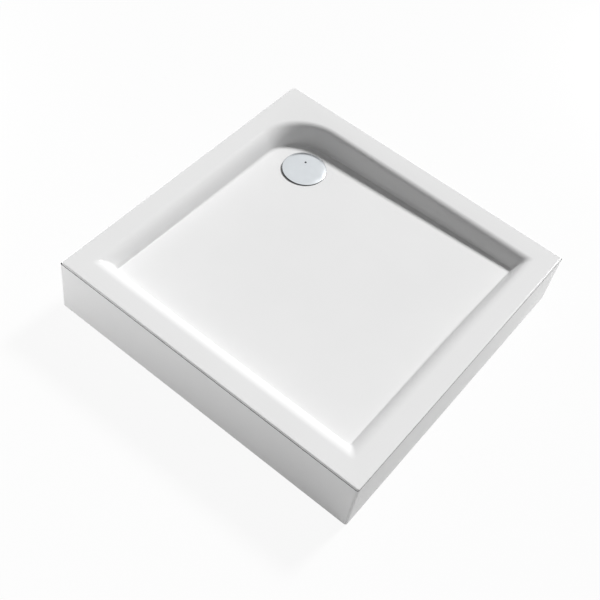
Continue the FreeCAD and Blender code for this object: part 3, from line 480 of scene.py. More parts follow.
def thread_growth() -> Growth:
    """Makes the tree that winds a right-hand thread on an upright bar with two spanner flats.

    A grid is rolled up, its X axis round the bar and its Y axis along it. The ridge runs out at both
    ends, and the grid's first and last rows have no radius, so they close the bar.

    Returns:
        The tree.
    """
    growth = Growth("threaded_bar", {
        "Radius": float, "Depth": float, "Pitch": float, "Low": float, "High": float,
        "Flat low": float, "Flat high": float, "Half flat": float,
        "Around": int, "Rows": int, "Centre": Vector, "Material": bpy.types.Material,
    })
    given, sum_ = growth.given, growth.sum
    grid = growth.add("MeshGrid", 1.0, 1.0, given["Around"], given["Rows"])
    place = growth.add("ShaderNodeSeparateXYZ", growth.add("InputPosition")[0])
    turn = sum_("ADD", place["X"], 0.5)
    row = sum_("MULTIPLY", sum_("ADD", place["Y"], 0.5), sum_("SUBTRACT", given["Rows"], 1.0))
    along = sum_("DIVIDE", sum_("SUBTRACT", row, 1.0), sum_("SUBTRACT", given["Rows"], 3.0))
    along = growth.add("ShaderNodeClamp", along, 0.0, 1.0)[0]
    height = sum_("MULTIPLY_ADD", along, sum_("SUBTRACT", given["High"], given["Low"]), given["Low"])
    inside = sum_("MULTIPLY", sum_("GREATER_THAN", row, 0.5), sum_(
        "LESS_THAN", row, sum_("SUBTRACT", given["Rows"], 1.5)
    ))
    phase = sum_("FRACT", sum_("SUBTRACT", sum_("DIVIDE", height, given["Pitch"]), turn))
    ridge = sum_("SUBTRACT", 1.0, sum_("ABSOLUTE", sum_("MULTIPLY_ADD", phase, 2.0, -1.0)))
    to_end = sum_("MINIMUM", sum_("SUBTRACT", height, given["Low"]), sum_("SUBTRACT", given["High"], height))
    crest = sum_("MINIMUM", sum_("MULTIPLY", ridge, given["Depth"]), to_end)
    root = sum_("SUBTRACT", given["Radius"], given["Depth"])
    radius = sum_("MULTIPLY", sum_("ADD", root, crest), inside)
    angle = sum_("MULTIPLY", turn, math.tau)
    out_x = sum_("MULTIPLY", radius, sum_("COSINE", angle))
    out_y = sum_("MULTIPLY", radius, sum_("SINE", angle))
    in_flat = sum_("MULTIPLY", sum_("GREATER_THAN", height, given["Flat low"]), sum_(
        "LESS_THAN", height, given["Flat high"]
    ))
    half = sum_("ADD", given["Half flat"], sum_("SUBTRACT", 1.0, in_flat))
    out_x = sum_("MAXIMUM", sum_("MINIMUM", out_x, half), sum_("MULTIPLY", half, -1.0))
    there = growth.add("ShaderNodeCombineXYZ", out_x, out_y, height)[0]
    bar = growth.add("SetPosition", grid[0], None, there)[0]
    moved = growth.add("Transform", bar, given["Centre"])[0]
    growth.finish(growth.add("MergeByDistance", moved, None, SAME_PLACE)[0])
    return growth


# Finishes.


def toned(colour: Colour, factor: float) -> Colour:
    """Makes a colour darker or lighter, at most white."""
    return tuple(min(1.0, c * factor) for c in colour)


@dataclass(frozen=True)
class Grain:
    """One noise or cell pattern of a finish.

    Attributes:
        size: Size of its largest features, in millimetres.
        relief: Depth of its relief, in millimetres.
        detail: Octaves.
        stretch: How much finer it is along each axis.
        rough: Share of the finer octaves.
    """

    size: float
    relief: float = 0.0
    detail: float = 2.0
    stretch: Point3 = (1.0, 1.0, 1.0)
    rough: float = 0.5


class Sketch:
    """A material's node tree while it is drawn."""

    def __init__(self, name: str) -> None:
        """Starts a material with a Principled surface and Object coordinates."""
        self.material = bpy.data.materials.new(name)
        self.material.use_nodes = True
        self.tree = self.material.node_tree
        self.surface = next(n for n in self.tree.nodes if n.type == "BSDF_PRINCIPLED")
        self.place = self.add("TexCoord")["Object"]

    def add(self, kind: str, **sockets: object) -> bpy.types.NodeOutputs:
        """Adds a shader node.

        Args:
            kind: Type of the node, without its prefix.
            sockets: Value or socket for each named input, with underscores for spaces.

        Returns:
            The node's outputs.
        """
        named = {key.replace("_", " "): value for key, value in sockets.items()}
        return add_node(self.tree, "ShaderNode" + kind, named)

    def join(self, kind: str, values: dict[int, object], **settings: object) -> bpy.types.NodeOutputs:
        """Adds a shader node whose inputs go by number, because they share their names."""
        return add_node(self.tree, "ShaderNode" + kind, values, **settings)

    def set(self, **sockets: object) -> None:
        """Sets or links inputs of the Principled surface, with underscores for spaces."""
        for key, value in sockets.items():
            give(self.tree, self.surface.inputs[key.replace("_", " ")], value)

    def noise(self, grain: Grain) -> bpy.types.NodeSocket:
        """Adds a noise and gives its value, 0 to 1."""
        placed = self.add("Mapping", Vector=self.place, Scale=grain.stretch)["Vector"]
        scale = 1 / (grain.size * MM)
        return self.add("TexNoise", Vector=placed, Scale=scale, Detail=grain.detail, Roughness=grain.rough)[0]

    def cells(self, grain: Grain) -> bpy.types.NodeOutputs:
        """Adds a cell pattern."""
        placed = self.add("Mapping", Vector=self.place, Scale=grain.stretch)["Vector"]
        return self.add("TexVoronoi", Vector=placed, Scale=1 / (grain.size * MM))

    def span(
        self, value: object, low: float, high: float, start: float = 0.0, end: float = 1.0
    ) -> bpy.types.NodeSocket:
        """Maps a value from start..end to low..high."""
        return self.add("MapRange", Value=value, From_Min=start, From_Max=end, To_Min=low, To_Max=high)[0]

    def shades(self, value: object, *stops: tuple[float, Colour]) -> bpy.types.NodeSocket:
        """Adds a colour ramp.

        Args:
            value: What it reads.
            stops: Position and colour of each stop.

        Returns:
            Its colour.
        """
        out = self.add("ValToRGB", Fac=value)
        ramp = self.tree.nodes[-1].color_ramp
        while len(ramp.elements) < len(stops):
            ramp.elements.new(0.5)
        for element, (position, colour) in zip(ramp.elements, stops):
            element.position = position
            element.color = (*colour, 1.0)
        return out["Color"]

    def tones(self, value: object, colour: Colour, *stops: Point2) -> bpy.types.NodeSocket:
        """Adds a ramp over tones of one colour, each stop a position and a factor."""
        return self.shades(value, *((position, toned(colour, factor)) for position, factor in stops))

    def relief(self, *layers: tuple[object, float]) -> None:
        """Adds bump layers to the surface.

        Args:
            layers: For each, its height and the depth of the relief in millimetres.
        """
        normal: object = None
        for height, depth in layers:
            sockets: dict[str, object] = {"Height": height, "Distance": depth * MM, "Strength": 1.0}
            if normal is not None:
                sockets["Normal"] = normal
            normal = self.add("Bump", **sockets)["Normal"]
        self.set(Normal=normal)


@dataclass(frozen=True)
class Acrylic:
    """Thermoformed white acrylic: deep gloss, very slight waviness and hair scratches."""

    colour: Colour = (0.80, 0.80, 0.80)
    tones: tuple[Point2, ...] = ((0.3, 0.985), (0.7, 1.0))
    roughness: Span = (0.27, 0.35, 0.35, 0.75)
    ior: float = 1.49
    coat: float = 0.4
    coat_roughness: float = 0.14
    cloud: Grain = Grain(160)
    wave: Grain = Grain(70, 0.05, 1)
    ripple: Grain = Grain(6, 0.004)
    scratch: Grain = Grain(0.5, 0.0006, 2, (1.0, 0.04, 1.0))

    def build(self) -> bpy.types.Material:
        """Makes the material."""
        sketch = Sketch("gloss_acrylic")
        tint = sketch.tones(sketch.noise(self.cloud), self.colour, *self.tones)
        scratches = sketch.noise(self.scratch)
        sketch.set(
            Base_Color=tint, Roughness=sketch.span(scratches, *self.roughness),
            IOR=self.ior, Specular_IOR_Level=0.0,
            Coat_Weight=self.coat, Coat_Roughness=self.coat_roughness, Coat_IOR=self.ior,
        )
        sketch.relief(
            (sketch.noise(self.wave), self.wave.relief), (sketch.noise(self.ripple), self.ripple.relief),
            (scratches, self.scratch.relief),
        )
        return sketch.material


@dataclass(frozen=True)
class GlassLaminate:
    """Sprayed glassfibre laminate: chopped strands in a pale greenish resin."""

    resin: Colour = (0.62, 0.62, 0.50)
    resin_tones: tuple[Point2, ...] = ((0.35, 0.8), (0.7, 1.0))
    strand: Colour = (0.84, 0.84, 0.76)
    strand_cover: Span = (0.0, 1.0, 0.52, 0.72)
    roughness: Point2 = (0.28, 0.6)
    subsurface: float = 0.05
    pool: Grain = Grain(45, 1.2, 3)
    strands_one: Grain = Grain(1.6, 0.25, 3, (1.0, 0.08, 1.0), 0.7)
    strands_two: Grain = Grain(1.6, 0.25, 3, (0.08, 1.0, 1.0), 0.7)

    def build(self) -> bpy.types.Material:
        """Makes the material."""
        sketch = Sketch("glassfibre_laminate")
        one, two = sketch.noise(self.strands_one), sketch.noise(self.strands_two)
        strands = sketch.join("Math", {0: one, 1: two}, operation="MAXIMUM")[0]
        mix = sketch.span(strands, *self.strand_cover)
        pooled = sketch.noise(self.pool)
        resin = sketch.tones(pooled, self.resin, *self.resin_tones)
        tint = sketch.join("Mix", {0: mix, 6: resin, 7: (*self.strand, 1.0)}, data_type="RGBA")[2]
        rough = sketch.span(mix, *self.roughness)
        sketch.set(Base_Color=tint, Roughness=rough, Subsurface_Weight=self.subsurface)
        sketch.relief((pooled, self.pool.relief), (mix, self.strands_one.relief))
        return sketch.material


@dataclass(frozen=True)
class Chipboard:
    """Raw chipboard: pressed flakes of several browns with pits between them."""

    pale: Colour = (0.66, 0.50, 0.31)
    dark: Colour = (0.36, 0.23, 0.12)
    stops: Point3 = (0.1, 0.45, 0.85)
    fine_share: float = 0.45
    roughness: float = 0.85
    flake: Grain = Grain(5, stretch=(1.0, 0.45, 1.6))
    chip: Grain = Grain(1.8, 0.25, stretch=(0.5, 1.0, 1.6))
    dust: Grain = Grain(0.7, 0.12, 3)

    def build(self) -> bpy.types.Material:
        """Makes the material."""
        sketch = Sketch("chipboard")
        flakes, chips = sketch.cells(self.flake), sketch.cells(self.chip)
        shade = sketch.add("SeparateColor", Color=flakes["Color"])[0]
        fine = sketch.add("SeparateColor", Color=chips["Color"])[1]
        both = sketch.join("Mix", {0: self.fine_share, 2: shade, 3: fine}, data_type="FLOAT")[0]
        middle = tuple((a + b) / 2 for a, b in zip(self.pale, self.dark))
        tint = sketch.shades(both, *zip(self.stops, (self.dark, middle, self.pale)))
        sketch.set(Base_Color=tint, Roughness=self.roughness)
        sketch.relief((chips["Distance"], self.chip.relief), (sketch.noise(self.dust), self.dust.relief))
        return sketch.material


@dataclass(frozen=True)
class Moulding:
    """Injection-moulded plastic: fine spark-eroded grain and flow marks, its roughness varying along them."""

    name: str
    colour: Colour
    roughness: float
    grain_depth: float
    spread: Point2 = (-0.06, 0.08)
    tones: tuple[Point2, ...] = ((0.3, 0.93), (0.7, 1.04))
    ior: float = 1.5
    flow: Grain = Grain(22, 0.03, 3, (1.0, 1.0, 0.3))
    grain: Grain = Grain(0.45)

    def build(self) -> bpy.types.Material:
        """Makes the material."""
        sketch = Sketch(self.name)
        flow = sketch.noise(self.flow)
        tint = sketch.tones(flow, self.colour, *self.tones)
        rough = sketch.span(flow, *(self.roughness + change for change in self.spread))
        sketch.set(Base_Color=tint, IOR=self.ior, Roughness=rough)
        sketch.relief((flow, self.flow.relief), (sketch.noise(self.grain), self.grain_depth))
        return sketch.material


@dataclass(frozen=True)
class ZincPlate:
    """Bright zinc plate on steel: rolling marks, faint blue and yellow cast, dull spots."""

    colour: Colour = (0.62, 0.64, 0.67)
    yellowish: Colour = (0.66, 0.66, 0.64)
    bluish: Colour = (0.58, 0.62, 0.68)
    stops: Point3 = (0.3, 0.55, 0.8)
    roughness: Span = (0.24, 0.48, 0.25, 0.75)
    patch: Grain = Grain(14, 0.02, 4)
    rolling: Grain = Grain(0.35, 0.006, 2, (1.0, 1.0, 0.03))

    def build(self) -> bpy.types.Material:
        """Makes the material."""
        sketch = Sketch("zinc_plate")
        patches, rolled = sketch.noise(self.patch), sketch.noise(self.rolling)
        tint = sketch.shades(patches, *zip(self.stops, (self.colour, self.yellowish, self.bluish)))
        sketch.set(Base_Color=tint, Metallic=1.0, Roughness=sketch.span(patches, *self.roughness))
        sketch.relief((rolled, self.rolling.relief), (patches, self.patch.relief))
        return sketch.material


@dataclass(frozen=True)
class Rubber:
    """Black rubber with a dusty bloom and a fine moulded grain."""

    colour: Colour = (0.035, 0.035, 0.037)
    tones: tuple[Point2, ...] = ((0.4, 1.0), (0.8, 2.0))
    roughness: Point2 = (0.6, 0.85)
    specular: float = 0.35
    bloom: Grain = Grain(9, detail=3)
    grain: Grain = Grain(0.4, 0.02)

    def build(self) -> bpy.types.Material:
        """Makes the material."""
        sketch = Sketch("black_rubber")
        bloom = sketch.noise(self.bloom)
        tint = sketch.tones(bloom, self.colour, *self.tones)
        rough = sketch.span(bloom, *self.roughness)
        sketch.set(Base_Color=tint, Roughness=rough, Specular_IOR_Level=self.specular)
        sketch.relief((sketch.noise(self.grain), self.grain.relief))
        return sketch.material


@dataclass(frozen=True)
class Foam:
    """Closed-cell foam strip: small open cells at its cut faces, near black, so that the strip also serves as
    painted shade in the seam.
    """

    colour: Colour = (0.02, 0.02, 0.022)
    tones: tuple[Point2, ...] = ((0.1, 0.5), (0.6, 1.0))
    roughness: float = 0.9
    cell: Grain = Grain(0.6, 0.2)

    def build(self) -> bpy.types.Material:
        """Makes the material."""
        sketch = Sketch("seal_foam")
        cells = sketch.cells(self.cell)["Distance"]
        tint = sketch.tones(cells, self.colour, *self.tones)
        sketch.set(Base_Color=tint, Roughness=self.roughness, Specular_IOR_Level=0.0)
        sketch.relief((cells, self.cell.relief))
        return sketch.material


@dataclass(frozen=True)
class Chrome:
    """Polished chrome plate: wiping marks, a water film, and painted shade: a dark ring low on the cover's
    edge, for the shadow in the gap under it.
    """

    colour: Colour = (0.66, 0.69, 0.715)
    # Painted shade: the colour of the cover's edge below the heights that follow, in place of the gap's
    # shadow.
    painted_shade_colour: Colour = (0.02, 0.02, 0.022)
    painted_shade_low: float = 122.5
    painted_shade_high: float = 122.8
    roughness: Span = (0.14, 0.21, 0.3, 0.7)
    film: Grain = Grain(20, 0.004, 3)
    wipe: Grain = Grain(0.4, 0.0008, 2, (0.06, 1.0, 1.0))

    def build(self) -> bpy.types.Material:
        """Makes the material."""
        sketch = Sketch("polished_chrome_painted_shade")
        film, wipes = sketch.noise(self.film), sketch.noise(self.wipe)
        # Painted shade: the chrome turns near black below a height, drawing the shadow under the cover's
        # edge.
        level = sketch.add("SeparateXYZ", Vector=sketch.place)["Z"]
        above = sketch.span(level, 0.0, 1.0, self.painted_shade_low * MM, self.painted_shade_high * MM)
        tint = sketch.shades(above, (0.0, self.painted_shade_colour), (1.0, self.colour))
        sketch.set(Base_Color=tint, Metallic=1.0, Roughness=sketch.span(film, *self.roughness))
        sketch.relief((film, self.film.relief), (wipes, self.wipe.relief))
        return sketch.material


class Palette:
    """Every finish of the tray by the record's slot."""

    def __init__(self) -> None:
        """Builds the materials once."""
        self.materials: dict[Slot, bpy.types.Material] = {
            Slot.ACRYLIC: Acrylic().build(),
            Slot.LAMINATE: GlassLaminate().build(),
            Slot.BOARD: Chipboard().build(),
            Slot.FOOT: Moulding("black_moulding", (0.030, 0.030, 0.033), 0.42, 0.02).build(),
            Slot.STEEL: ZincPlate().build(),
            Slot.CLIP: Moulding("grey_moulding", (0.30, 0.31, 0.32), 0.5, 0.02).build(),
            Slot.FOAM: Foam().build(),
            Slot.RUBBER: Rubber().build(),
            Slot.WASTE: Moulding("white_moulding", (0.78, 0.78, 0.765), 0.36, 0.008).build(),
            Slot.STRAINER: Moulding("strainer_moulding", (0.50, 0.53, 0.56), 0.34, 0.008).build(),
            Slot.CHROME: Chrome().build(),
        }

    def dress(self, item: bpy.types.Object, slot: Slot) -> None:
        """Gives an object one finish."""
        item.data.materials.clear()
        item.data.materials.append(self.materials[slot])

    def dress_nodes(self, record: dict) -> None:
        """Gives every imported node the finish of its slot.

        Args:
            record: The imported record.
        """
        for entry in record["subparts"]:
            node = frame["nodes"][entry["node"]]
            for socket in node.material_slots:
                socket.material = self.materials[Slot(entry["material_slot"])]


def settle(
    item: bpy.types.Object, palette: Palette, slot: Slot, body: str, *nodes: str
) -> bpy.types.Object:
    """Finishes a piece: its material, its slot, the nodes it stands for and the body it rides on.

    Args:
        item: The piece.
        palette: The finishes.
        slot: The finish it takes.
        body: The body it rides on.
        nodes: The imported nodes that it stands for.

    Returns:
        The piece.
    """
    palette.dress(item, slot)
    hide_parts(*nodes)
    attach(item, body)
    LOG.info("%s: %d faces, on %s", item.name, len(item.data.polygons), body)
    return item


# The tray.


@dataclass
class TrayForm:
    """Sizes of the formed sheet, in millimetres, and the surfaces they give.

    left, right, front and back are the rim's widths, the slopes next to them how far each wall comes in
    below it. The back wall is a rounded edge over a nearly straight slope, the others are quarters of
    ellipses.
    """

    half: float = 450.0
    top: float = 174.0
    sheet: float = 4.0
    laminate: float = 3.0
    board: float = 16.0
    left: float = 50.0
    right: float = 50.0
    front: float = 50.0
    back: float = 57.0
    left_slope: float = 35.0
    right_slope: float = 45.0
    front_slope: float = 50.0
    back_slope: float = 42.5
    back_edge: float = 20.0
    back_angle: float = 64.0
    curve: float = 64.0
    corner: float = 10.0
    waste_corner: float = 150.0
    waste_draw: float = 40.0
    depth: float = 44.0
    fall_x: float = 0.030
    fall_y: float = 0.017
    rim_edge: float = 3.4
    rim_corners: tuple[float, float, float, float] = (8.0, 6.0, 8.0, 16.0)
    waste_x: float = -253.0
    waste_y: float = 260.0
    dish: float = 57.0
    dish_depth: float = 3.5
    hole: float = 45.0

    @property
    def seat(self) -> float:
        """Height of the level seat round the waste."""
        return self.floor_at(self.waste_x, self.waste_y) - self.dish_depth

    @property
    def under_board(self) -> float:
        """Floor surface to the underside of the board."""
        return self.sheet + self.laminate + self.board

    def floor_at(self, x: float, y: float) -> float:
        """Height of the basin floor at one place."""
        return self.top - self.depth + self.fall_x * x - self.fall_y * y

    def board_at(self, x: float, y: float) -> float:
        """Height of the underside of the board at one place."""
        return self.floor_at(x, y) - self.under_board


@dataclass
class TrayShell:
    """The formed acrylic sheet: rim, curved walls, falling floor, pressed seat and lip."""

    form: TrayForm
    corner_steps: tuple[int, int, int, int] = (14, 14, 14, 48)
    side_steps: int = 28
    wall_steps: int = 22
    rim_steps: int = 8
    rim_land: float = 2.0
    least_radius: float = 0.6
    crease_radius: float = 2.0
    side_crease: float = 9.0
    crease_steps: int = 7
    halvings: int = 40
    floor_runs: tuple[float, float] = (4.0, 30.0)
    dish_runs: tuple[float, float] = (9.0, 2.0)
    dish_edge: tuple[Point2, ...] = ((1.1, 0.12), (0.45, 0.45), (0.12, 1.0))
    seat_edge: tuple[Point2, ...] = ((0.0, 1.0), (-0.3, 0.3), (-1.0, 0.0))
    hole_edge: float = 0.5
    lip_bottom: float = 150.0
    lip_inset: float = 3.5
    lip_end: float = 412.5
    lip_overlap: float = 0.6
    lip_rounding: float = 1.0
    lip_steps: int = 12
    plate_wall: float = 442.2
    plate_free: float = 416.0
    plate_corner: float = 8.0
    plate_chamfer: float = 0.6
    glue_line: float = 0.02
    backing_hole: float = 61.3
    sharp: float = 32.0

    def outline(self, low: Point2, high: Point2, radii: Sequence[float]) -> list[Point2]:
        """Runs round a rectangle with rounded corners, from the front left corner rightwards.

        Args:
            low: Its left and front edge.
            high: Its right and back edge.
            radii: Corner radii: front left, front right, back right, back left.

        Returns:
            Its points, always as many.
        """
        turns = (math.pi, 1.5 * math.pi, 0.0, 0.5 * math.pi)
        corners = ((low[0], low[1]), (high[0], low[1]), (high[0], high[1]), (low[0], high[1]))
        arcs = []
        for (x, y), radius, start, steps in zip(corners, radii, turns, self.corner_steps):
            x, y = x + math.copysign(radius, -x), y + math.copysign(radius, -y)
            arcs.append([
                (x + radius * math.cos(start + a), y + radius * math.sin(start + a)) for a in quarter(steps)
            ])
        points: list[Point2] = []
        for index, arc in enumerate(arcs):
            points += arc
            start, end = Vector(arc[-1]), Vector(arcs[(index + 1) % len(arcs)][0])
            points += [tuple(start.lerp(end, k / self.side_steps)) for k in range(1, self.side_steps)]
        return points

    def wall_outline(self, reach: float, layer: float) -> list[Point2]:
        """Plan of the wall where it has come in by a share of its slope, a layer deep."""
        form = self.form
        small = form.corner + layer * reach
        large = form.waste_corner - form.waste_draw * reach + layer * reach
        return self.outline(
            (
                form.left + (form.left_slope - layer) * reach - form.half,
                form.front + (form.front_slope - layer) * reach - form.half,
            ),
            (
                form.half - form.right - (form.right_slope - layer) * reach,
                form.half - form.back - (form.back_slope - layer) * reach,
            ),
            (small, small, small, large),
        )

    def rim_ring(self, inset: float, height: float) -> list[Point3]:
        """Ring round the outside of the rim, set in from its edge."""
        edge = self.form.half - inset
        radii = [max(radius - inset, self.least_radius) for radius in self.form.rim_corners]
        return [(x, y, height) for x, y in self.outline((-edge, -edge), (edge, edge), radii)]

    def wall_columns(self, layer: float) -> list[tuple[Vector, Vector]]:
        """Start and full reach of every column of the wall, in plan."""
        start, end = self.wall_outline(0.0, layer), self.wall_outline(1.0, layer)
        return [(Vector(a), Vector(b) - Vector(a)) for a, b in zip(start, end)]

    def wall_at(self, share: float, wide: float, layer: float, steep: float) -> Vector:
        """One point of a wall's profile.

        Args:
            share: How far down the profile, 0 at the rim and 1 at its lowest.
            wide: How far the profile comes in.
            layer: How deep in the thickness the surface lies.
            steep: 0 for a quarter of an ellipse, 1 for a straight wall under a rounded edge.

        Returns:
            How far in and how high it is.
        """
        form = self.form
        turn = share * math.pi / 2
        tall = form.curve - layer
        soft = Vector((wide * math.sin(turn), form.top - form.curve + tall * math.cos(turn)))
        radius, lean = form.back_edge - layer, math.radians(form.back_angle)
        bend = radius * lean
        drop = tall - radius * (1 - math.cos(lean))
        along = share * (bend + drop / math.sin(lean))
        if along < bend:
            tilt = along / radius
            hard = Vector((radius * math.sin(tilt), -radius * (1 - math.cos(tilt))))
        else:
            rest = along - bend
            hard = Vector((
                radius * math.sin(lean) + rest * math.cos(lean),
                -radius * (1 - math.cos(lean)) - rest * math.sin(lean),
            ))
        full = radius * math.sin(lean) + drop / math.tan(lean)
        hard = Vector((hard.x * wide / full, hard.y + form.top - layer))
        return soft.lerp(hard, steep)

    def column(self, start: Vector, reach: Vector, layer: float, crease: float) -> list[Point3]:
        """One column of the wall from the rim to the floor.

        Args:
            start: Plan point at the rim.
            reach: How far the column comes in, in plan.
            layer: How deep in the thickness the surface lies.
            crease: Radius of the rounding between wall and floor along the front and the back, which
                passes into side_crease along the sides. With 0 the crease is sharp all round.

        Returns:
            Its points, the last on the floor.
        """
        form = self.form
        towards = reach.normalized()
        steep = max(0.0, -towards.y) ** 2
        if crease > 0:
            crease += (self.side_crease - crease) * towards.x ** 2
        base = form.floor_at(start.x, start.y) - layer
        slope = form.fall_x * towards.x - form.fall_y * towards.y
        lift = crease * math.hypot(1.0, slope)

        def wall(share: float) -> tuple[Vector, Vector]:
            point = self.wall_at(share, reach.length, layer, steep)
            after = self.wall_at(share + 1e-4, reach.length, layer, steep)
            return point, Vector((point.y - after.y, after.x - point.x)).normalized()

        low, high = 0.0, 1.0
        for _ in range(self.halvings):
            middle = (low + high) / 2
            point, inward = wall(middle)
            centre = point + inward * crease
            if centre.y - base - slope * centre.x > lift:
                low = middle
            else:
                high = middle
        track = [wall(low * k / self.wall_steps)[0] for k in range(self.wall_steps + 1)]
        if crease > 0:
            point, inward = wall(low)
            centre = point + inward * crease
            begin = math.atan2(-inward.y, -inward.x)
            end = math.atan2(-1.0, slope)
            begin = begin - math.tau if begin > 0 else begin
            for k in range(1, self.crease_steps + 1):
                angle = begin + (end - begin) * k / self.crease_steps
                track.append(centre + Vector((math.cos(angle), math.sin(angle))) * crease)
        return [(*(start + towards * p.x), p.y) for p in track]

    def floor_rings(
        self, edge_ring: Sequence[Point3], layer: float, radii: Sequence[float]
    ) -> list[list[Point3]]:
        """Rings on the floor, from the crease to the waste.

        Args:
            edge_ring: The ring where the wall ends on the floor.
            layer: How deep in the thickness the floor lies.
            radii: Radii of the rings round the waste.

        Returns:
            The rings, from the outside inwards.
        """
        form = self.form
        waste = Vector((form.waste_x, form.waste_y))
        rays = [Vector(p[:2]) - waste for p in edge_ring]
        plans = [[waste + ray * (1 - run / ray.length) for ray in rays] for run in self.floor_runs]
        plans += [[waste + ray.normalized() * radius for ray in rays] for radius in radii]
        return [[(x, y, form.floor_at(x, y) - layer) for x, y in plan] for plan in plans]

    def build(self) -> bpy.types.Object:
        """Makes the sheet as one closed skin, with the lip as a second one.

        Returns:
            The tray.
        """
        form = self.form
        rings = [self.rim_ring(0.0, form.top - form.sheet), self.rim_ring(0.0, form.top - form.rim_edge)]
        for angle in quarter(self.rim_steps)[1:]:
            inset = form.rim_edge * (1 - math.cos(angle))
            rings.append(self.rim_ring(inset, form.top - form.rim_edge * (1 - math.sin(angle))))
        rings.append(self.rim_ring(form.rim_edge + self.rim_land, form.top))
        columns = [self.column(a, b, 0.0, self.crease_radius) for a, b in self.wall_columns(0.0)]
        rings += [list(ring) for ring in zip(*columns)]
        seat, dish = form.seat, form.dish
        rings += self.floor_rings(rings[-1], 0.0, [dish + run for run in self.dish_runs])
        rays = [Vector((x - form.waste_x, y - form.waste_y)).normalized() for x, y, _ in rings[-1]]

        def level(radius: float, height: float) -> list[Point3]:
            return [(form.waste_x + r.x * radius, form.waste_y + r.y * radius, height) for r in rays]

        def falling(radius: float, drop: float) -> list[Point3]:
            return [(x, y, form.floor_at(x, y) - drop) for x, y, _ in level(radius, 0.0)]

        rings += [falling(dish + run, drop) for run, drop in self.dish_edge]
        rings += [level(dish + run, seat + rise) for run, rise in self.seat_edge]
        rings += [
            level(form.hole + self.hole_edge, seat), level(form.hole, seat - self.hole_edge),
            level(form.hole, seat - form.sheet), level(dish + form.sheet, seat - form.sheet),
            falling(dish + form.sheet, form.sheet),
        ]
        under = [self.column(a, b, form.sheet, 0.0) for a, b in self.wall_columns(form.sheet)]
        rings += [list(ring) for ring in reversed(list(zip(*under)))]
        sheet = skin("acrylic_sheet", rings, wraps=True, sharp=self.sharp)
        return merged("acrylic_tray", [sheet, self.lip()])

    def backing(self) -> bpy.types.Object:
        """Makes the laminate that lies under the sheet, from its plate under the rim to the waste.

        Returns:
            The laminate.
        """
        form = self.form
        deep = form.sheet + form.laminate
        low, high, bevel = form.top - deep, form.top - form.sheet, self.plate_chamfer

        def plate(inset: float, height: float) -> list[Point3]:
            near = (inset - self.plate_wall, inset - self.plate_free)
            far = (self.plate_free - inset, self.plate_wall - inset)
            return [(x, y, height) for x, y in self.outline(near, far, (self.plate_corner,) * 4)]

        def layer(depth: float) -> list[list[Point3]]:
            columns = [self.column(a, b, depth, 0.0) for a, b in self.wall_columns(depth)]
            rings = [list(ring) for ring in zip(*columns)]
            return rings + self.floor_rings(rings[-1], depth, [self.backing_hole])

        rings = [plate(bevel, low), plate(0.0, low + bevel), plate(0.0, high - bevel)]
        rings.append(plate(bevel, high - self.glue_line))
        rings += layer(form.sheet + self.glue_line) + layer(deep)[::-1]
        return skin("glassfibre_layer", rings, wraps=True, sharp=self.sharp)

    def lip(self) -> bpy.types.Object:
        """Makes the down-turned lip along the left and the back."""
        out = self.form.half - self.lip_inset
        radius = self.form.rim_corners[3] - self.lip_inset
        rightwards, forwards = Vector((1, 0)), Vector((0, -1))
        path = [(Vector((-out, -self.lip_end)), rightwards), (Vector((-out, out - radius)), rightwards)]
        for turn in quarter(self.lip_steps)[1:-1]:
            away = Vector((math.cos(math.pi - turn), math.sin(math.pi - turn)))
            path.append((Vector((radius - out, out - radius)) + away * radius, -away))
        path += [(Vector((radius - out, out)), forwards), (Vector((self.lip_end, out)), forwards)]
        low, thick = self.lip_bottom, self.form.sheet
        high = self.form.top - thick + self.lip_overlap
        section = softened(((0, low), (thick, low), (thick, high), (0, high)), self.lip_rounding)
        rings = [[(*(place + inward * u), z) for u, z in section] for place, inward in path]
        return skin("lip", rings)

    def dress(self, palette: Palette) -> None:
        """Puts the tray in place of its solid."""
        settle(self.build(), palette, Slot.ACRYLIC, "tray", "tray_shell")
        settle(self.backing(), palette, Slot.LAMINATE, "tray", "glassfibre_backing")


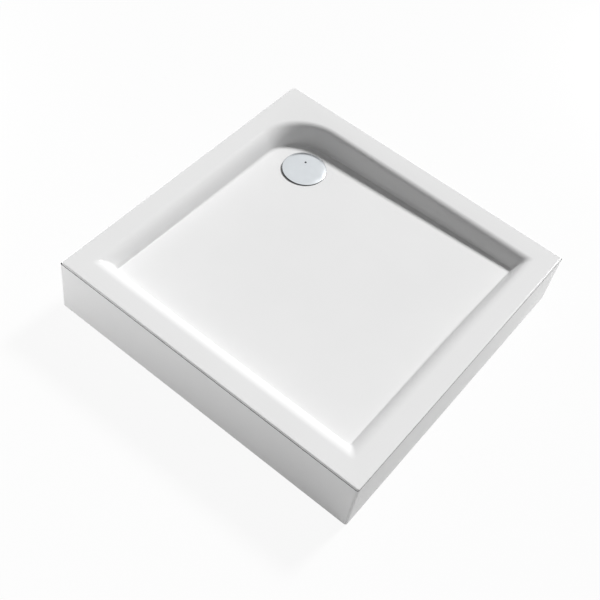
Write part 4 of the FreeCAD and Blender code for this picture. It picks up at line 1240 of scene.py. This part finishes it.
@dataclass
class Apron:
    """The two-sided apron of one bent sheet, and the foam strip that fills the seam over it.

    The strip is partly painted shade: its near-black outer lip stands half a millimetre before the apron's
    face and hangs down over the apron's edge on the right, drawing the seam's shadow line.
    """

    face: float = 449.5
    low: float = 1.0
    high: float = 167.0
    sheet: float = 3.0
    reach: float = 21.0
    corner: float = 6.0
    corner_steps: int = 14
    least_radius: float = 0.3
    end_run: float = 4.0
    edge_radius: float = 0.9
    edge_steps: int = 4
    foot_radius: float = 1.5
    foot_steps: int = 7
    plate_edge: float = 0.4
    plate_rounding: float = 0.5
    sharp: float = 38.0
    # Painted shade: the foam's outer lip is pushed out to the face and hung low on the right, so that it
    # draws the seam's shadow line.
    foam_shade_inset: float = -0.5
    foam_back: float = 0.2
    foam_rounding: float = 0.3
    foam_width: float = 11.5
    foam_low: float = 167.2
    foam_shade_low_right: float = 165.6
    foam_top: float = 169.8

    def corner_ring(self, inset: float) -> list[Point2]:
        """Plan of the run round the free corner, with two points before it and two after it.

        Args:
            inset: How far behind the face it runs.

        Returns:
            Its points, from the left end to the back end.
        """
        radius = max(self.corner - inset, self.least_radius)
        edge, near_end = self.face - inset, self.face - self.end_run
        x, y = edge - radius, radius - edge
        arc = [(x + radius * math.sin(a), y - radius * math.cos(a)) for a in quarter(self.corner_steps)]
        return [(-self.face, -edge), (-near_end, -edge), *arc, (edge, near_end), (edge, self.face)]

    def run(self, name: str, front: Sequence[Point2], right: Sequence[Point2]) -> bpy.types.Object:
        """Sweeps a closed section along both sides.

        Args:
            name: Name of the piece.
            front: The section along the front, as pairs of inset and height.
            right: The section along the right.

        Returns:
            The swept piece.
        """
        rings = []
        for k in range(len(self.corner_ring(0.0))):
            share = min(max(k - 2, 0) / self.corner_steps, 1.0)
            section = [Vector(a).lerp(Vector(b), share) for a, b in zip(front, right)]
            rings.append([(*self.corner_ring(p.x)[k], p.y) for p in section])
        return skin(name, rings, sharp=self.sharp)

    def foam_section(self, low: float) -> list[Point2]:
        """Section of the foam strip, its outer lip hanging down to a height."""
        near, far = self.foam_shade_inset, self.foam_shade_inset + self.foam_width
        top, rest = self.foam_top, self.high
        corners = ((near, low), (near, top), (far, top), (far, rest), (self.foam_back, rest))
        return softened(corners, self.foam_rounding)

    def end_plate(self, name: str, at_left: bool) -> bpy.types.Object:
        """Makes the return at one end of the apron."""
        edge, thick = self.plate_edge, self.sheet
        low, high = self.low + edge, self.high - edge
        middle = (low + high) / 2
        corners = ((thick - edge, low), (self.reach, low), (self.reach, high), (thick - edge, high))
        outline = softened(corners, self.plate_rounding)
        rings = []
        for along, shrink in ((0.0, edge), (edge, 0.0), (thick - edge, 0.0), (thick, edge)):
            ring = []
            for inset, height in outline:
                near = inset - math.copysign(shrink, inset - self.reach / 2)
                level = height - math.copysign(shrink, height - middle)
                a, b = self.face - along, self.face - near
                ring.append((-a, -b, level) if at_left else (b, a, level))
            rings.append(ring)
        return skin(name, rings)

    def build(self) -> tuple[bpy.types.Object, bpy.types.Object]:
        """Makes the apron and its foam strip.

        Returns:
            Both objects.
        """
        low, high, thick, reach = self.low, self.high, self.sheet, self.reach
        bend = [
            (self.foot_radius * (1 - math.cos(a)), low + self.foot_radius * (1 - math.sin(a)))
            for a in reversed(quarter(self.foot_steps))
        ]
        section = bend + softened((
            (0, high), (reach, high), (reach, high - thick), (thick, high - thick),
            (thick, low + thick), (reach, low + thick), (reach, low),
        ), self.edge_radius, self.edge_steps, closed=False)
        ends = [self.end_plate("left_end", True), self.end_plate("back_end", False)]
        panel = merged("apron_sheet", [self.run("panel", section, section), *ends])
        # Painted shade: the foam's lip hangs lower on the right to draw the seam's shadow line there.
        front, right = self.foam_section(self.foam_low), self.foam_section(self.foam_shade_low_right)
        return panel, self.run("foam_strip", front, right)

    def dress(self, palette: Palette) -> None:
        """Puts both in place of their solids."""
        panel, foam = self.build()
        settle(panel, palette, Slot.ACRYLIC, "apron", "apron_panel")
        settle(foam, palette, Slot.FOAM, "apron", "apron_seal_strip")


# The waste.


@dataclass
class DrainCover:
    """The round cover: flat in its middle, falling near its turned-down edge, on three legs."""

    centre: Point3
    radius: float = 61.0
    low: float = 6.0
    edge: float = 9.3
    crown: float = 1.5
    crown_power: float = 9.0
    crown_steps: int = 24
    bend: float = 3.2
    bend_drop: float = 1.2
    bend_steps: int = 7
    rim: float = 2.0
    rim_chamfer: float = 0.3
    under_bend: tuple[Point2, ...] = ((0.0, -1.2), (-2.0, -0.8))
    under_middle: float = 0.4
    around: int = 160
    hole_radius: float = 3.0
    hole_at: Point2 = (-11.0, 19.0)
    hole_height: float = 20.0
    hole_around: int = 40
    leg_circle: float = 32.0
    leg_radius: float = 2.5
    leg_low: float = -16.28
    leg_sunk: float = 1.0
    leg_around: int = 24
    leg_rounding: float = 0.6
    legs: int = 3
    leg_turn: float = 15.0
    sharp: float = 50.0

    def build(self, spokes: Growth, palette: Palette) -> bpy.types.Object:
        """Makes the cover.

        Args:
            spokes: The tree that sets the legs round it.
            palette: The finishes.

        Returns:
            The cover.
        """
        flat, inner, edge = self.radius - self.bend, self.radius - self.rim, self.edge
        profile = [
            (r, edge + self.crown * (1 - (r / flat) ** self.crown_power))
            for r in (flat * k / self.crown_steps for k in range(self.crown_steps + 1))
        ]
        for a in quarter(self.bend_steps)[1:]:
            profile.append((flat + self.bend * math.sin(a), edge - self.bend_drop * (1 - math.cos(a))))
        profile += [(self.radius, self.low + self.rim_chamfer), (self.radius - self.rim_chamfer, self.low)]
        profile += [(inner, self.low), *((inner + run, edge + rise) for run, rise in self.under_bend)]
        profile.append((0.0, edge + self.under_middle))
        plate = lathe("cover_plate", profile, self.centre, self.around, 0.0, self.sharp)

        def post(radius: float, low: float, high: float) -> Sequence[Point2]:
            return (0, low), (radius, low), (radius, high), (0, high)

        x, y, z = self.centre
        hole_centre = (x + self.hole_at[0], y + self.hole_at[1], z)
        hole = post(self.hole_radius, 0, self.hole_height)
        plate = carved(plate, lathe("cover_hole", hole, hole_centre, self.hole_around, 0.0))
        leg_post = post(self.leg_radius, self.leg_low, edge - self.leg_sunk)
        leg = lathe("cover_leg", leg_post, (self.leg_circle, 0, 0), self.leg_around, self.leg_rounding)
        cover = spokes.grow(
            "drain_cover_plate", Hub=plate, Unit=leg, Count=self.legs,
            Centre=tuple(c * MM for c in self.centre), Tilt=(0.0, 0.0, math.radians(self.leg_turn)),
            Material=palette.materials[Slot.CHROME],
        )
        bpy.data.objects.remove(plate)
        bpy.data.objects.remove(leg)
        return cover

    def dress(self, spokes: Growth, palette: Palette) -> None:
        """Puts the cover in place of its solid."""
        settle(self.build(spokes, palette), palette, Slot.CHROME, "drain_cover", "drain_cover")


# Feet and fasteners.


@dataclass
class Fasteners:
    """The wood screws: domed heads with a cross recess, each turned its own way."""

    shank: float = 2.0
    head: float = 4.0
    head_height: float = 2.6
    head_steps: int = 6
    around: int = 20
    sharp: float = 50.0
    recess: float = 1.9
    recess_arm: float = 0.42
    recess_depth: float = 1.5
    recess_taper: float = 0.6
    cutter_above: float = 1.0
    seed: int = 7

    def unit(self, grip: float) -> bpy.types.Object:
        """Makes one screw, its head hanging from the origin and its shank upwards.

        Args:
            grip: Length of the shank.

        Returns:
            The screw.
        """
        turns = quarter(self.head_steps)
        profile = [(self.head * math.sin(a), -self.head_height * math.cos(a)) for a in turns]
        profile += [(self.shank, 0.0), (self.shank, grip - self.shank), (0.0, grip)]
        body = lathe("screw_unit", profile, (0, 0, 0), self.around, 0.0, self.sharp)
        arms = []
        for a in circle(4):
            along, across = Vector((math.cos(a), math.sin(a))), Vector((-math.sin(a), math.cos(a)))
            tip, side = along * self.recess, across * self.recess_arm
            arms += [tip - side, tip + side, (along + across) * self.recess_arm]
        above, floor = -self.head_height - self.cutter_above, self.recess_depth - self.head_height
        levels = ((above, 1.0), (floor, self.recess_taper))
        cross = skin("screw_recess", [[(p.x * f, p.y * f, z) for p in arms] for z, f in levels])
        return carved(body, cross)

    def dress(self, palette: Palette) -> None:
        """Puts a screw in place of every packed one."""
        growth = screw_growth()
        for node in ("foot_socket_screws", "apron_clip_screws", "apron_stay_screws"):
            boxes = islands(node)
            unit = self.unit((boxes[0][1].z - boxes[0][0].z) / MM - self.head_height)
            spots = []
            for low, high in boxes:
                x, y = (low.x + high.x) / 2 / MM, (low.y + high.y) / 2 / MM
                spots.append((x, y, low.z / MM + self.head_height))
            places = make("places", spots, ())
            screws = growth.grow(
                node + "_crossed", Unit=unit, Places=places, Seed=self.seed,
                Material=palette.materials[Slot.STEEL],
            )
            bpy.data.objects.remove(unit)
            bpy.data.objects.remove(places)
            settle(screws, palette, Slot.STEEL, "tray", node)


@dataclass
class Feet:
    """Levelling feet: threaded studs, chamfered lock nuts and round pads."""

    form: TrayForm
    places: tuple[tuple[str, float, float], ...] = (
        ("front_left", -290.0, -290.0), ("front_right", 290.0, -290.0), ("back_right", 290.0, 290.0),
        ("left", -290.0, 40.0), ("back", -40.0, 290.0), ("centre", 0.0, 0.0),
    )
    radius: float = 6.0
    thread_depth: float = 0.85
    pitch: float = 1.75
    stud_low: float = 6.0
    stud_gap: float = 4.0
    flats: tuple[float, float] = (19.0, 31.0)
    half_flat: float = 5.0
    around: int = 33
    rows_per_turn: int = 6
    closing_rows: int = 3
    bore: float = 6.06
    bore_edge: float = 0.5
    socket_length: float = 38.0
    nut_height: float = 7.0
    nut_width: float = 19.0
    ring_around: int = 72
    chamfer_from: float = 0.96
    chamfer_steps: int = 3
    chamfer_step: Point2 = (0.62, 0.4)
    ribs: tuple[float, ...] = (6.0, 10.0, 14.0, 18.0)
    rib_halves: Point2 = (0.7, 1.0)
    rib_height: float = 0.4
    pad_side: tuple[Point2, ...] = (
        (22.6, 0.0), (24.0, 1.2), (24.0, 4.8), (23.2, 5.4), (16.0, 12.0), (13.2, 14.6), (12.0, 17.0),
    )
    pad_floor: float = 6.0
    pad_rounding: float = 0.4
    pad_sharp: float = 30.0
    sharp: float = 25.0

    def stud(
        self, growth: Growth, place: str, x: float, y: float, steel: bpy.types.Material
    ) -> bpy.types.Object:
        """Makes one threaded stud with its spanner flats."""
        top = self.form.board_at(x, y) - self.stud_gap
        rows = int((top - self.stud_low) / self.pitch * self.rows_per_turn) + self.closing_rows
        item = growth.grow(
            "threaded_stud_" + place,
            Radius=self.radius * MM, Depth=self.thread_depth * MM, Pitch=self.pitch * MM,
            Low=self.stud_low * MM, High=top * MM, Flat_low=self.flats[0] * MM, Flat_high=self.flats[1] * MM,
            Half_flat=self.half_flat * MM, Around=self.around, Rows=rows, Centre=(x * MM, y * MM, 0.0),
            Material=steel,
        )
        smooth(item, self.sharp)
        return item

    def nut(self, place: str, x: float, y: float) -> bpy.types.Object:
        """Makes one lock nut with its corners chamfered at both faces."""
        high = self.form.board_at(x, y) - self.socket_length
        low = high - self.nut_height
        flat = self.nut_width / 2

        def reach(angle: float) -> float:
            return flat / math.cos((angle + math.pi / 6) % (math.pi / 3) - math.pi / 6)

        def ring(limit: float, level: float) -> list[Point3]:
            return [
                (x + min(reach(a), limit) * math.cos(a), y + min(reach(a), limit) * math.sin(a), level)
                for a in circle(self.ring_around)
            ]

        out, rise = self.chamfer_step
        half = [(self.bore, self.bore_edge), (self.bore + self.bore_edge, 0.0)]
        half += [(flat * self.chamfer_from + k * out, k * rise) for k in range(self.chamfer_steps + 1)]
        rings = [ring(limit, low + depth) for limit, depth in half]
        rings += [ring(limit, high - depth) for limit, depth in reversed(half)]
        return skin("lock_nut_" + place, rings, wraps=True, sharp=self.sharp)

    def pad(self, place: str, x: float, y: float) -> bpy.types.Object:
        """Makes one pad with a ribbed sole and a filleted neck."""
        (tip, root), deep = self.rib_halves, self.rib_height
        profile = [(0.0, deep)]
        for rib in self.ribs:
            profile += [(rib - root, deep), (rib - tip, 0.0), (rib + tip, 0.0), (rib + root, deep)]
        top = self.pad_side[-1][1]
        profile += [*self.pad_side, (self.bore, top), (self.bore, self.pad_floor), (0.0, self.pad_floor)]
        name, centre = "foot_pad_round_" + place, (x, y, 0.0)
        return lathe(name, profile, centre, self.ring_around, self.pad_rounding, self.pad_sharp)

    def dress(self, palette: Palette) -> None:
        """Puts every foot in place of its solids."""
        growth = thread_growth()
        steel = palette.materials[Slot.STEEL]
        for place, x, y in self.places:
            body = "stud_" + place
            settle(self.stud(growth, place, x, y, steel), palette, Slot.STEEL, body, "foot_stud_" + place)
            settle(self.nut(place, x, y), palette, Slot.STEEL, body, "foot_nut_" + place)
            settle(self.pad(place, x, y), palette, Slot.FOOT, "pad_" + place, "foot_pad_" + place)


# The room.


@dataclass
class Lamp:
    """One soft rectangular lamp."""

    name: str
    place: Point3
    target: Point3
    size: Point2
    power: float

    def build(self) -> bpy.types.Object:
        """Makes the lamp, facing its target."""
        data = bpy.data.lights.new(self.name, "AREA")
        data.shape = "RECTANGLE"
        data.size, data.size_y = self.size
        data.energy = self.power
        item = linked(self.name, data)
        item.location = self.place
        look = Vector(self.target) - Vector(self.place)
        item.rotation_euler = look.to_track_quat("-Z", "Y").to_euler()
        return item


@dataclass
class FarLamp:
    """A wide soft lamp so far away that it lights every place alike."""

    name: str
    azimuth: float
    elevation: float
    strength: float
    width: float
    distance: float = 5.0

    def build(self) -> bpy.types.Object:
        """Makes the lamp; its angles are in degrees, seen from the tray."""
        data = bpy.data.lights.new(self.name, "SUN")
        data.energy, data.angle = self.strength, math.radians(self.width)
        item = linked(self.name, data)
        turn, rise = math.radians(self.azimuth), math.radians(self.elevation)
        away = Vector((math.cos(rise) * math.cos(turn), math.cos(rise) * math.sin(turn), math.sin(rise)))
        item.location = away * self.distance
        item.rotation_euler = (-away).to_track_quat("-Z", "Y").to_euler()
        return item


@dataclass
class Studio:
    """Floor, air, lamps and the camera of the photograph."""

    lens: float = 63.57882
    sensor: float = 36.0
    clip: Point2 = (0.05, 60.0)
    eye: Point3 = (0.803798, -1.505922, 2.194033)
    right: Point3 = (0.7762585, 0.6178926, 0.1250259)
    down: Point3 = (0.5549644, -0.5756974, -0.6004891)
    ahead: Point3 = (-0.2990606, 0.5355197, -0.7897984)
    world_strength: float = 0.19
    floor_size: float = 14.0
    floor_colour: float = 0.68
    floor_shade: float = 0.08
    key_azimuth: float = 83.0
    key_elevation: float = 43.0
    key_strength: float = 3.7
    key_width: float = 10.0
    fill_size: Point2 = (0.9, 0.15)
    fills: tuple[tuple[str, Point3, Point3, float], ...] = (
        ("left_fill", (-1.8, -0.7, 0.09), (-0.45, -0.45, 0.08), 38.0),
        ("front_fill", (0.0, -1.6, 0.09), (0.0, -0.45, 0.08), 1.7),
        ("right_fill", (0.7, 1.8, 0.09), (0.45, 0.45, 0.08), 30.0),
    )

    def camera(self) -> None:
        """Sets the camera as solved from the photograph."""
        data = bpy.data.cameras.new("photograph")
        data.lens = self.lens
        data.sensor_width = self.sensor
        data.sensor_fit = "HORIZONTAL"
        data.clip_start, data.clip_end = self.clip
        item = linked("photograph", data)
        turn = Matrix((Vector(self.right), -Vector(self.down), -Vector(self.ahead))).transposed()
        item.matrix_world = Matrix.Translation(self.eye) @ turn.to_4x4()
        bpy.context.scene.camera = item

    def white_when_seen(
        self, tree: bpy.types.NodeTree, shader: bpy.types.NodeSocket, in_material: bool
    ) -> bpy.types.NodeSocket:
        """Mixes a shader with plain white where a view ray, a mirrored ray or a passing ray meets it.

        Args:
            tree: The node tree.
            shader: What all other rays meet.
            in_material: False in the world's tree.

        Returns:
            The mixed shader.
        """
        path = add_node(tree, "ShaderNodeLightPath")
        kind = "ShaderNodeEmission" if in_material else "ShaderNodeBackground"
        white = add_node(tree, kind, {"Color": WHITE, "Strength": 1.0})[0]
        seen, math_node = path["Is Camera Ray"], "ShaderNodeMath"
        for other in ("Is Glossy Ray", "Is Transmission Ray"):
            seen = add_node(tree, math_node, {0: seen, 1: path[other]}, operation="MAXIMUM")[0]
        if in_material:
            kept = 1.0 - self.floor_shade
            seen = add_node(tree, math_node, {0: seen, 1: kept}, operation="MULTIPLY")[0]
        return add_node(tree, "ShaderNodeMixShader", {0: seen, 1: shader, 2: white})[0]

    def floor(self) -> None:
        """Lays the pale floor, which looks white but takes a faint shadow."""
        half = self.floor_size / 2 / MM
        corners = ((-half, -half, 0), (half, -half, 0), (half, half, 0), (-half, half, 0))
        item = make("studio_floor", corners, ((0, 1, 2, 3),))
        material = bpy.data.materials.new("pale_floor")
        material.use_nodes = True
        tree = material.node_tree
        tree.nodes.clear()
        diffuse = add_node(tree, "ShaderNodeBsdfDiffuse", {"Color": (self.floor_colour,) * 3 + (1.0,)})[0]
        seen = self.white_when_seen(tree, diffuse, True)
        add_node(tree, "ShaderNodeOutputMaterial", {"Surface": seen})
        item.data.materials.append(material)

    def air(self) -> None:
        """Sets the world's light, white where it is seen."""
        world = bpy.data.worlds.new("studio_air")
        bpy.context.scene.world = world
        world.use_nodes = True
        tree = world.node_tree
        tree.nodes.clear()
        plain = add_node(tree, "ShaderNodeBackground", {"Color": WHITE, "Strength": self.world_strength})[0]
        add_node(tree, "ShaderNodeOutputWorld", {"Surface": self.white_when_seen(tree, plain, False)})

    def build(self) -> None:
        """Makes the room and sets the view."""
        scene = bpy.context.scene
        scene.view_settings.view_transform = "Standard"
        self.floor()
        self.air()
        self.camera()
        FarLamp("key", self.key_azimuth, self.key_elevation, self.key_strength, self.key_width).build()
        for name, place, target, power in self.fills:
            Lamp(name, place, target, self.fill_size, power).build()


def main() -> None:
    """Builds the studio and every sub-assembly in order."""
    logging.basicConfig(level=logging.INFO, format="%(name)s: %(message)s")
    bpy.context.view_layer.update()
    palette = Palette()
    palette.dress_nodes(frame["record"])
    form = TrayForm()
    spokes = spoke_growth()
    Studio().build()
    TrayShell(form).dress(palette)
    Apron().dress(palette)
    DrainCover((form.waste_x, form.waste_y, form.seat)).dress(spokes, palette)
    Feet(form).dress(palette)
    Fasteners().dress(palette)


if __name__ == "__main__":
    main()
